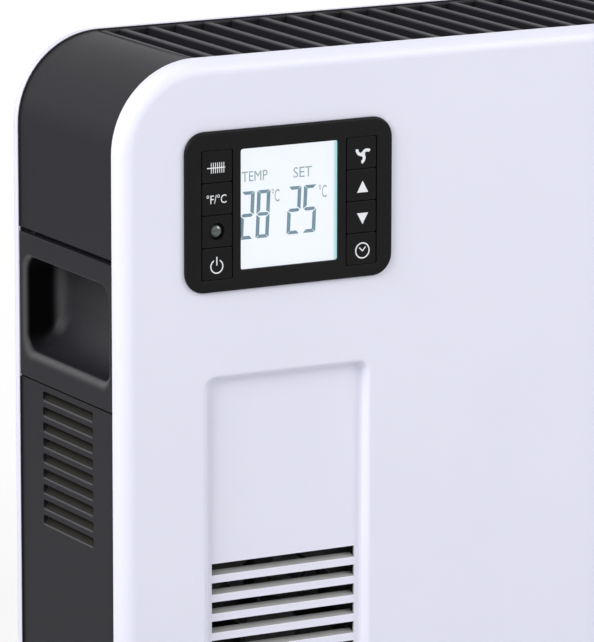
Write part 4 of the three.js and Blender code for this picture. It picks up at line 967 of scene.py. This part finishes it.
face = SIDE_X - FRAME_INSET + GRIP_PROUD
inner = SIDE_X - FRAME_INSET - FRAME_WALL
grip = Outline((-FRAME_BACK, -FRAME_FRONT), (GRIP_FOOT, GRIP_TOP + GRIP_CREST))
foot, flat = plate(skin, grip, inner, face)
rolls = []
for i in range(ROLL_STEPS + 1):
    angle = i / ROLL_STEPS * math.pi / 2
    out, sink = 1 - math.sin(angle), ROLL_DEPTH * (1 - math.cos(angle))
    cup = Outline(
        (CUP_U[0] - ROLL_U[0] * out, CUP_U[1] + ROLL_U[1] * out),
        (CUP_V[0] - ROLL_V[0] * out, CUP_V[1] + ROLL_V[1] * out), CUP_CORNER, 8,
    )
    # The mouth's roll: a painted highlight at its middle, and painted shade where it turns into the cup
    # at the sides.
    rolls.append(marked_ring(cup, face - sink, math.sin(2 * angle) ** 2, 0.0, math.sin(angle) ** 6))
cup_walls = []
deepest = CUP_DEPTH - ROLL_DEPTH
for i in range(1, CUP_STEPS + 1):
    share = math.sin(i / CUP_STEPS * math.pi / 2)
    into_bend = max(0.0, deepest * (share - 1) + CUP_BEND)
    bend = CUP_BEND - math.sqrt(CUP_BEND ** 2 - into_bend ** 2)
    scoop = CUP_SCOOP * (1 - math.sqrt(1 - share ** 2))
    wall = Outline(
        (cup.u[0] + CUP_DRAFT[0] * share + bend, cup.u[1] - CUP_DRAFT[1] * share - bend),
        (cup.v[0] + scoop, cup.v[1] - CUP_DRAFT[1] * share - bend),
        CUP_CORNER + (FLOOR_CORNER - CUP_CORNER) * share, 8,
    )
    part = into_bend / CUP_BEND
    # The walls: painted highlight on the floor and along the bend, painted shade on the deep side
    # walls.
    marks = (FLOOR_HIGHLIGHT * part, BEND_HIGHLIGHT * math.sin(math.pi * part) ** 2, (1 - part) ** 1.5)
    cup_walls.append(marked_ring(wall, face - ROLL_DEPTH - deepest * share, *marks))
loft(skin, *rolls, *cup_walls)
fill(skin, cup_walls[-1])
fill(skin, flat, rolls[:1])
skin = thicken(skin, GRIP_WALL)
lip_u = (-FRAME_BACK + LIP_SETBACK, -FRAME_FRONT - LIP_SETBACK)
lip_w = (inner - LIP_SINK - LIP_WALL, inner - LIP_SINK)
slab(skin, lip_u, (GRIP_TOP - LIP_ROOT, GRIP_TOP + LIP_LAP), lip_w)
for front_end, back_end in TONGUES:
    slab(skin, (-back_end, -front_end), (GRIP_FOOT, GRIP_TOP), (inner, SIDE_X - TONGUE_INSET))
pair("side_grip", "grip", turned(skin, "left"), grip_black_painted_light, "black_plastic")

# %% [markdown]
# ## Top outlet
# Hot air leaves through a row of fins. The grille is one moulding: a plate 14 mm deep with an
# opening between each two fins. The openings widen downwards, so the fins taper, and their upper
# edges are well rounded.

# %% Top outlet
FIN_WIDTH, FIN_FOOT, FIN_ROUND, FIRST_FIN, GRILLE_RAIL = mm(4.6, 2.6, 0.9, 12.9, 3)
FIN_COUNT = 33
skin = bmesh.new()
top = HEIGHT - FRAME_INSET
grille = Outline(GRILLE_U, (FRAME_FRONT, FRAME_BACK))
foot, flat = plate(skin, grille, top - FIN_DEPTH, top)
pitch = 2 * (GRILLE_HALF - FIRST_FIN) / (FIN_COUNT - 1)
fins = [FIRST_FIN - GRILLE_HALF + i * pitch for i in range(FIN_COUNT)]
starts = [GRILLE_RAIL - GRILLE_HALF] + [x + FIN_WIDTH / 2 for x in fins]
ends = [x - FIN_WIDTH / 2 for x in fins] + [GRILLE_HALF - GRILLE_RAIL]
taper = (FIN_WIDTH - FIN_FOOT) / 2
cuts = []
for start, end in zip(starts, ends):
    opening = Outline((start, end), (FRAME_FRONT + GRILLE_RAIL, FRAME_BACK - GRILLE_RAIL))
    wider = Outline((start - taper, end + taper), opening.v)
    levels = [(opening.grow(CUT), top), (opening, top), (wider, top - FIN_DEPTH)]
    cuts.append(walls(skin, levels, (1, FIN_ROUND, 3)))
fill_round(skin, flat, foot, cuts)
for tongue_v in TONGUES:
    slab(skin, GRILLE_U, tongue_v, (top - FRAME_WALL, HEIGHT - TONGUE_INSET))
slab(skin, GRILLE_U, (FRAME_BACK - BEAD, FRAME_BACK), (top - CUT, HEIGHT - BEAD_INSET))
piece("fin_grille", turned(skin, "top"), black_plastic, "black_plastic", ["top_grille"])

# %% [markdown]
# ## Base
# Room air enters through slots in the base. Two pads without slots carry the screw holes for feet,
# and the supply lead's gland sits at the right end.

# %% Base
TRAY_WALL, TRAY_SLOT_WIDTH, TRAY_SLOT_LENGTH, TRAY_SLOT_CORNER, TRAY_SHIFT = mm(3.3, 11, 64, 3, 6)
TRAY_SLOTS, FOOT_X = 16, GRILLE_HALF - 68.5 * MM
FOOT_PAD, FOOT_HOLE, FOOT_SPACING = mm(40, 1.8, 50)
GLAND_LOW, GLAND_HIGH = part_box("cord_gland")
GLAND_FLANGE = (GLAND_HIGH.x - GLAND_LOW.x) / 2
GLAND_SINK, GLAND_BODY, GLAND_BORE = mm(1.6, 6, 3.4)


def gland_disc(radius):
    return disc((GLAND_LOW.x + GLAND_HIGH.x) / 2, -(GLAND_LOW.y + GLAND_HIGH.y) / 2, radius, 10)


skin = bmesh.new()
foot, flat = plate(skin, Outline(GRILLE_U, (-FRAME_BACK, -FRAME_FRONT)), -TRAY_WALL, 0)
pitch = (2 * FOOT_X - FOOT_PAD) / TRAY_SLOTS
slot_v = about(TRAY_SHIFT, TRAY_SLOT_LENGTH)
holes = [
    Outline(about((i - (TRAY_SLOTS - 1) / 2) * pitch, TRAY_SLOT_WIDTH), slot_v, TRAY_SLOT_CORNER, 5)
    for i in range(TRAY_SLOTS)
]
for x in (-FOOT_X, FOOT_X):
    holes += [disc(x, v, FOOT_HOLE, 5) for v in about(0, FOOT_SPACING)]
cuts = [walls(skin, [(hole, 0), (hole, -TRAY_WALL)]) for hole in holes]
sink, neck = gland_disc(GLAND_FLANGE + GAP), gland_disc(GLAND_BODY + GAP)
step = -GLAND_SINK - GAP
cuts.append(walls(skin, [(sink, 0), (sink, step), (neck, step), (neck, -TRAY_WALL)]))
fill_round(skin, flat, foot, cuts)
for front_end, back_end in TONGUES:
    slab(skin, GRILLE_U, (-back_end, -front_end), (-FRAME_INSET - FRAME_WALL, -TONGUE_INSET))
piece("base", turned(skin, "bottom"), black_plastic, "black_plastic", ["bottom_tray"])

skin = bmesh.new()
flange, body, bore = [gland_disc(radius) for radius in (GLAND_FLANGE, GLAND_BODY, GLAND_BORE)]
walls(skin, [
    (bore, -GLAND_HIGH.z), (body, -GLAND_HIGH.z), (body, -GLAND_SINK), (flange, -GLAND_SINK),
    (flange, -GAP), (bore, -GAP),
], loop=True)
outwards(skin)
piece("lead_gland", turned(skin, "bottom"), black_plastic, "black_plastic", ["cord_gland"], edge=SEAM)

# %% [markdown]
# ## Control panel
# The bezel is a satin black frame that clips into the front pan. Two columns of keys and the
# display window look through it.

# %% Bezel
BEZEL_FACE = -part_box("bezel")[0].y
SKIRT_BACK = -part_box("bezel")[1].y
BEZEL_EDGE, BEZEL_PLATE, SKIRT_WALL = mm(1.2, 7, 1.8)
PLATE_BACK = BEZEL_FACE - BEZEL_PLATE
WINDOW_LIP, WINDOW_REBATE, WINDOW_CORNER, WINDOW_EDGE = mm(1.4, 1.7, 1.2, 0.5)
KEY_INSET, KEY_WIDTH, KEY_PITCH, KEY_TOP = mm(18, 18, 16.5, 9.6)
COLUMN_CORNER, COLUMN_EDGE, LAND = mm(0.8, 0.3, 0.1)
KEY_ROWS = 4
COLUMN_V = (BEZEL.v[1] - KEY_TOP - KEY_ROWS * KEY_PITCH, BEZEL.v[1] - KEY_TOP)

skin = bmesh.new()
skirt = BEZEL.grow(-BEZEL_FLANGE - GAP)
inside = skirt.grow(-SKIRT_WALL)
front, *_, back = walls(skin, [
    (BEZEL.grow(-2 * BEZEL_EDGE), BEZEL_FACE), (BEZEL, BEZEL_FACE), (BEZEL, GAP - FRONT_Y),
    (skirt, GAP - FRONT_Y), (skirt, SKIRT_BACK), (inside, SKIRT_BACK), (inside, PLATE_BACK),
], (1, BEZEL_EDGE, 5))
cuts = []
for x in (BEZEL.u[0] + KEY_INSET, BEZEL.u[1] - KEY_INSET):
    column = Outline(about(x, KEY_WIDTH), COLUMN_V, COLUMN_CORNER, 3)
    mouth = column.grow(COLUMN_EDGE + LAND)
    levels = [(mouth, BEZEL_FACE), (column, BEZEL_FACE), (column, PLATE_BACK)]
    cuts.append(walls(skin, levels, (1, COLUMN_EDGE, 3)))
window = front_view("display_window", WINDOW_REBATE - GAP, WINDOW_CORNER, 4)
rebate, ledge = window.grow(WINDOW_REBATE), BEZEL_FACE - WINDOW_LIP
cuts.append(walls(skin, [
    (window.grow(WINDOW_EDGE + LAND), BEZEL_FACE), (window, BEZEL_FACE), (window, ledge),
    (rebate, ledge), (rebate, PLATE_BACK),
], (1, WINDOW_EDGE, 4)))
fill_round(skin, front, back, cuts)
piece("panel_frame", turned(skin, "front"), panel_black, "panel_black", ["bezel"])

# %% [markdown]
# ## Keys
# Each key fills one cell of its column, with a hairline gap all round. Catches hold it behind the
# bezel, and a stem reaches the switch on the board behind.

# %% Keys
KEYS = ("heat", "unit", "power", "fan", "up", "down", "timer")
KEY_EDGE, KEY_CORNER, KEY_FLAT_CORNER, KEY_SINK = mm(0.35, 1, 0.3, 0.15)
KEY_GAP = mm(0.5, 0.15)
CATCH_REACH, CATCH_THICKNESS, STEM_RADIUS = mm(0.8, 1, 2.5)
KEY_FACE = BEZEL_FACE - KEY_SINK
KEY_BACK = PLATE_BACK - GAP - CATCH_THICKNESS


def key_cap(x, z, hole=None):
    """A cap with a rounded edge and catches at its back."""
    bm = bmesh.new()
    width, height = KEY_WIDTH - 2 * KEY_GAP[0], KEY_PITCH - 2 * KEY_GAP[1]
    cap = Outline(about(x, width), about(z, height), KEY_CORNER, 4)
    flat = cap.grow(-2 * KEY_EDGE, KEY_FLAT_CORNER)
    levels = [(cap, KEY_BACK), (cap, KEY_FACE), (flat, KEY_FACE)]
    back, _, front = walls(bm, levels, (1, KEY_EDGE, 4))
    cuts = [walls(bm, [(hole, KEY_FACE), (hole, KEY_BACK)])] if hole else []
    fill_round(bm, front, back, cuts)
    for side in (-1, 1):
        catch = sorted((x + side * width / 2, x + side * (KEY_WIDTH / 2 + CATCH_REACH)))
        slab(bm, catch, about(z, height - 2 * KEY_CORNER), (KEY_BACK, KEY_BACK + CATCH_THICKNESS))
    return bm


for key in KEYS:
    x, z = middle_of(f"{key}_key")
    stem = disc(x, z, STEM_RADIUS, 4)
    cap = solid(key_cap(x, z), [(stem, -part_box(f"{key}_key")[1].y), (stem, KEY_BACK)])
    piece(f"{key}_cap", turned(cap, "front"), key_black, "key_black", [f"{key}_key"], body=f"{key}_key")

# %% Receiver
EYE = middle_of("receiver_plate")
LENS_FLAT, LENS_ROUND = 0.15, 0.8
LENS_LOW, LENS_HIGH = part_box("receiver_lens")
EYE_RADIUS = (LENS_HIGH.x - LENS_LOW.x) / 2
eye = disc(*EYE, EYE_RADIUS, 8)
socket = key_cap(*EYE, hole=disc(*EYE, EYE_RADIUS + GAP, 8))
piece("eye_plate", turned(socket, "front"), key_black, "key_black", ["receiver_plate"])

crown = disc(*EYE, EYE_RADIUS * LENS_FLAT, 8)
levels = [(eye, -LENS_HIGH.y), (eye, -LENS_LOW.y), (crown, -LENS_LOW.y)]
dome = solid(bmesh.new(), levels, (1, EYE_RADIUS * LENS_ROUND, 8))
piece("eye_lens", turned(dome, "front"), smoked_lens, "smoked_plastic", ["receiver_lens"])

# %% [markdown]
# ## Symbols
# The symbols are printed on the keys in white. Each is a thin plate of ink, so that it shows from
# any side and keeps its sharp edges close up.

# %% Symbols
INK, OVERPRINT = mm(0.06, 0.0075)
PRINTED_AT = {
    "heat": (-0.3, -0.6), "unit": (-0.4, 0.0), "power": (-0.3, -1.3), "fan": (0.65, -0.8),
    "up": (0.65, -0.9), "down": (0.65, -0.9), "timer": (0.65, -0.9),
}


def inked(bm):
    """Gives a flat drawing the thickness of ink."""
    pushed(bm, bm.faces[:], (0, 0, INK))
    return close(bm)


def bar(bm, x, z, width, height, angle=0.0, w=0.0):
    """A bar of ink about a point. Its sizes and place are in millimetres, as in all symbols."""
    made = slab(bm, about(0, width * MM), about(0, height * MM), (w, w + INK))
    turn = Matrix.Rotation(math.radians(angle), 3, "Z")
    bmesh.ops.rotate(bm, cent=(0, 0, 0), matrix=turn, verts=made)
    bmesh.ops.translate(bm, vec=(x * MM, z * MM, 0), verts=made)


def wedge(width, height):
    """A triangle of ink that points up, or down where the height is below zero."""
    bm = bmesh.new()
    corners = ((-width / 2, -height / 2), (width / 2, -height / 2), (0, height / 2))
    bm.faces.new([bm.verts.new((u * MM, v * MM, 0)) for u, v in corners])
    return inked(bm)


def hoop(radius, stroke):
    """A ring of ink."""
    bm = bmesh.new()
    outer, inner = [disc(0, 0, size * MM, 10) for size in (radius, radius - stroke)]
    walls(bm, [(outer, 0), (inner, 0), (inner, INK), (outer, INK)], loop=True)
    outwards(bm)
    return bm


def lettering(text, width, height):
    """Letters of a given overall width and cap height."""
    letters = bpy.data.curves.new("letters", "FONT")
    letters.body, letters.resolution_u = text, 3
    made = bpy.data.objects.new("letters", letters)
    bpy.context.scene.collection.objects.link(made)
    bpy.context.view_layer.update()
    mesh = bpy.data.meshes.new_from_object(made.evaluated_get(bpy.context.evaluated_depsgraph_get()))
    bm = bmesh.new()
    bm.from_mesh(mesh)
    bpy.data.objects.remove(made)
    bmesh.ops.remove_doubles(bm, verts=bm.verts[:], dist=1e-5)
    across, up = [[f(v.co[i] for v in bm.verts) for f in (min, max)] for i in range(2)]
    moved(bm, -sum(across) / 2, -sum(up) / 2, 0)
    scale = (width * MM / (across[1] - across[0]), height * MM / (up[1] - up[0]), 1)
    bmesh.ops.scale(bm, vec=scale, verts=bm.verts[:])
    return inked(bm)


def symbol(key, bm):
    """Prints a drawing on its key, a little off the key's own middle."""
    (x, z), (right, up) = middle_of(f"{key}_key"), PRINTED_AT[key]
    bm = turned(moved(bm, x + right * MM, z + up * MM, KEY_FACE), "front")
    piece(f"{key}_symbol", bm, symbol_white, "key_black", body=f"{key}_key")


drawing = bmesh.new()
bar(drawing, -0.3, 0, 10.2, 0.5)
for i in range(7):
    bar(drawing, (i - 2.6) * 1.18, 0, 0.38, 5.4, w=OVERPRINT)
symbol("heat", drawing)
symbol("unit", lettering("°F/°C", 11.2, 4.6))

notch = Outline(about(0, 3.3 * MM), (1.5 * MM, 5 * MM))
drawing = combine(hoop(3.7, 0.62), post(notch, (-CUT, CUT)))
bar(drawing, 0, 2.7, 0.62, 4.4)
symbol("power", drawing)
symbol("up", wedge(6.4, 6.0))
symbol("down", wedge(6.4, -5.8))

drawing = hoop(4.2, 0.65)
bar(drawing, -0.85, 0.65, 0.6, 2.6, 46)
bar(drawing, 0.85, 0.75, 0.6, 2.8, -42, OVERPRINT)
symbol("timer", drawing)

# %% [markdown]
# The fan symbol has three curved blades. One blade is a short edge swept round a point beside it,
# and turning it by thirds gives the others.

# %% Fan symbol
BLADE_WIDTH, BLADE_RADIUS, HUB_RADIUS = mm(1.6, 2.5, 1.3)
BLADE_SWEEP, BLADE_START = math.radians(-116), -12
drawing = bmesh.new()
for start in (BLADE_START, BLADE_START + 120, BLADE_START + 240):
    blade = bmesh.new()
    edge = [blade.verts.new((u, 0, 0)) for u in about(0, BLADE_WIDTH)]
    edge.append(blade.edges.new(edge))
    bmesh.ops.spin(
        blade, geom=edge, cent=(BLADE_RADIUS, 0, 0), axis=(0, 0, 1), angle=BLADE_SWEEP, steps=10,
    )
    turn = Matrix.Rotation(math.radians(start), 4, "Z")
    bmesh.ops.transform(blade, matrix=turn, verts=blade.verts[:])
    drawing = joined(drawing, inked(blade))
symbol("fan", joined(drawing, post(disc(0, 0, HUB_RADIUS, 4), (0, INK * 1.1))))

# %% [markdown]
# ## Display
# The display shows the room's temperature and the set one in seven-segment figures. Segments are
# thin bars with slanted ends, which leave a fine gap where they meet.

# %% Display
DISPLAY_FACE = -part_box("display_module")[0].y
FIGURE_WIDTH, FIGURE_HEIGHT, FIGURE_GAP, STROKE, JOIN = mm(7.5, 24.4, 1.5, 2, 0.5)
FIGURE_LEAN, THIN = 0.045, 0.85
SEGMENTS = {
    "a": (0.5, 1, 0), "b": (1, 0.75, -90), "c": (1, 0.25, -90), "d": (0.5, 0, 180),
    "e": (0, 0.25, 90), "f": (0, 0.75, 90), "g": (0.5, 0.5, 0),
}
FIGURES = {"2": "abged", "5": "afgcd", "8": "abcdefg"}


def segment(bm, name, x, z):
    """One bar of a figure whose lower left corner is at x and z. They are named as is usual, from
    a at the top clockwise to f, with g in the middle. A bar's inner side is the shorter."""
    across, up, angle = SEGMENTS[name]
    upright = across != 0.5
    reach = FIGURE_HEIGHT / 4 - JOIN / 2 if upright else FIGURE_WIDTH / 2 - JOIN
    half = STROKE / 2 * (1 if upright else THIN)
    inner = reach - STROKE * (0.5 if name == "g" else 0.75)
    corners = [(-reach, half), (-inner, -half), (inner, -half), (reach, half)]
    if name == "g":
        corners = [(-inner, -half), (inner, -half), (reach, 0)]
        corners += [(-u, -v) for u, v in corners]
    centre = Vector((
        x + half + (FIGURE_WIDTH - 2 * half) * across,
        z + (FIGURE_HEIGHT * up if upright else half + (FIGURE_HEIGHT - 2 * half) * up),
    ))
    verts = []
    for corner in corners:
        u, v = centre + Matrix.Rotation(math.radians(angle), 2) @ Vector(corner)
        verts.append(bm.verts.new((u + FIGURE_LEAN * (v - z), v, DISPLAY_FACE)))
    bm.faces.new(verts)


figures, labels = bmesh.new(), bmesh.new()
for text, x, z in (("28", -252.1, 307.0), ("25", -225.4, 307.3)):
    for i, figure in enumerate(text):
        for name in FIGURES[figure]:
            segment(figures, name, x * MM + i * (FIGURE_WIDTH + FIGURE_GAP), z * MM)
for text, x, z, width, height in (
    ("TEMP", -243.5, 339.0, 14.6, 5.1), ("SET", -216.1, 338.7, 10.6, 5.4),
    ("°C", -231.6, 328.1, 4.4, 6.8), ("°C", -204.5, 327.9, 4.4, 6.8),
):
    letters = lettering(text, width, height)
    labels = joined(labels, moved(letters, x * MM, z * MM, DISPLAY_FACE))
piece("display_figures", turned(inked(figures), "front"), display_ink, "display")
piece("display_labels", turned(labels, "front"), display_faint, "display")

for name, node, finish, slot in (
    ("display_field", "display_module", display_light, "display"),
    ("display_pane", "display_window", clear_pane, "clear_plastic"),
):
    low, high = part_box(node)
    sheet = post(front_view(node, radius=0.6 * MM, steps=3), (-high.y, -low.y))
    piece(name, turned(sheet, "front"), finish, slot, [node], edge=0.1 * MM)

# %% [markdown]
# ## Back screws
# Six pan-head screws with a cross recess. The recess is cut by two crossed blades.

# %% Back screws
HEAD_RADIUS, HEAD_HEIGHT, HEAD_SLOPE, HEAD_ROUND, HEAD_EDGE = mm(3.7, 2.2, 2.4, 1.1, 0.12)
CROSS_LENGTH, CROSS_WIDTH, CROSS_DEPTH = mm(4.2, 0.9, 1.3)
for name, (x, z) in SCREWS.items():
    low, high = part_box(f"back_screw_{name}")
    head, shank = disc(-x, z, HEAD_RADIUS, 8), disc(-x, z, SHANK_RADIUS, 8)
    under = high.y - HEAD_HEIGHT
    screw = solid(bmesh.new(), [
        (head.grow(-HEAD_SLOPE), high.y), (head, high.y), (head, under),
        (shank, under), (shank, low.y),
    ], (1, HEAD_ROUND, 5))
    for angle in (30, 120):
        blade = bmesh.new()
        cross_w = (high.y - CROSS_DEPTH, high.y + CUT)
        slab(blade, about(0, CROSS_LENGTH), about(0, CROSS_WIDTH), cross_w)
        turn = Matrix.Rotation(math.radians(angle), 4, "Z")
        bmesh.ops.transform(blade, matrix=turn, verts=blade.verts[:])
        screw = combine(screw, moved(blade, -x, z, 0))
    screw = turned(screw, "back")
    piece(f"cross_screw_{name}", screw, zinc, "zinc", [f"back_screw_{name}"], edge=HEAD_EDGE)

# %% [markdown]
# ## Pieces inside
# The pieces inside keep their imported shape. They show only through slots and fins, so what they
# need is their finish.

# %% Pieces inside
INSIDE = {
    "chassis": galvanised, "fan_motor": galvanised, "element_bracket": galvanised,
    "fan_shroud": grey_plastic, "impeller": grey_plastic, "room_sensor": grey_plastic,
    "heating_element": aluminium, "element_bush": ceramic, "thermal_cutout": ceramic,
    "power_board": circuit_board, "control_board": circuit_board, "terminal_block": black_plastic,
}
finished = []
for node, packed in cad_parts.items():
    for kind, finish in INSIDE.items():
        if node.startswith(kind):
            finished.append(node)
            for held in packed.material_slots:
                held.material = finish
print(len(finished), "packed pieces with a finish")

# %% [markdown]
# ## Floor and light
# The heater stands on a pale studio floor. The floor keeps the heater's shadow but lifts the rest
# of itself to white for the camera, so the lamps can stay at a level where colours look as they
# are written.

# %% Floor
FLOOR_HALF, PAPER = 9.0, (0.70, 0.70, 0.70)
GLOW_FROM, GLOW_TO, GLOW_LOW, GLOW_HIGH = 0.6, 4.0, 0.30, 0.82
floor_drawing = bmesh.new()
bmesh.ops.create_grid(floor_drawing, x_segments=1, y_segments=1, size=FLOOR_HALF)
floor = object_of("floor", moved(floor_drawing, 0, 0, -GAP))
paper = Finish("studio_floor")
away = paper.node("ShaderNodeVectorMath", {"operation": "LENGTH"}, {0: paper.place}, out="Value")
glow = paper.node("ShaderNodeMapRange", None, {
    "Value": away, "From Min": GLOW_FROM, "From Max": GLOW_TO, "To Min": GLOW_LOW, "To Max": GLOW_HIGH,
})
plain = paper.node("ShaderNodeBsdfDiffuse", None, {"Color": PAPER})
lift = paper.node("ShaderNodeEmission", None, {"Strength": glow})
lifted = paper.node("ShaderNodeAddShader", None, {0: plain, 1: lift})
seen = paper.node("ShaderNodeLightPath", out="Is Camera Ray")
floor.data.materials.append(paper.end(paper.choose(seen, plain, lifted)))

# %% World and lamps
AMBIENT = 0.28
LAMPS = {
    "key": ((-2.0, -0.62, 1.45), 1.2, 50),
    "fill": ((1.25, -1.35, 1.25), 1.2, 24.5),
    "rear": ((2.5, 1.1, 1.0), 1.4, 50),
}
world = bpy.data.worlds.new("studio")
bpy.context.scene.world = world
world.use_nodes = True
studio = Graph(world.node_tree)
direct = 0.0
for ray in ("Camera", "Glossy", "Transmission"):
    direct = studio.node("ShaderNodeLightPath", out=f"Is {ray} Ray").math("MAXIMUM", direct)
ambient, white = [
    studio.node("ShaderNodeBackground", None, {"Color": (1.0, 1.0, 1.0), "Strength": strength})
    for strength in (AMBIENT, 1.0)
]
studio.node("ShaderNodeOutputWorld", None, {"Surface": studio.choose(direct, ambient, white)})

for name, (place, size, watts) in LAMPS.items():
    lamp = bpy.data.lights.new(name, "AREA")
    lamp.shape, lamp.size, lamp.energy = "SQUARE", size, watts
    softbox = bpy.data.objects.new(name, lamp)
    towards = (Vector(place) - Vector((0, 0, HEIGHT / 2))).to_track_quat("Z", "Y")
    softbox.matrix_world = Matrix.Translation(place) @ towards.to_matrix().to_4x4()
    bpy.context.scene.collection.objects.link(softbox)
print(len(LAMPS), "lamps")
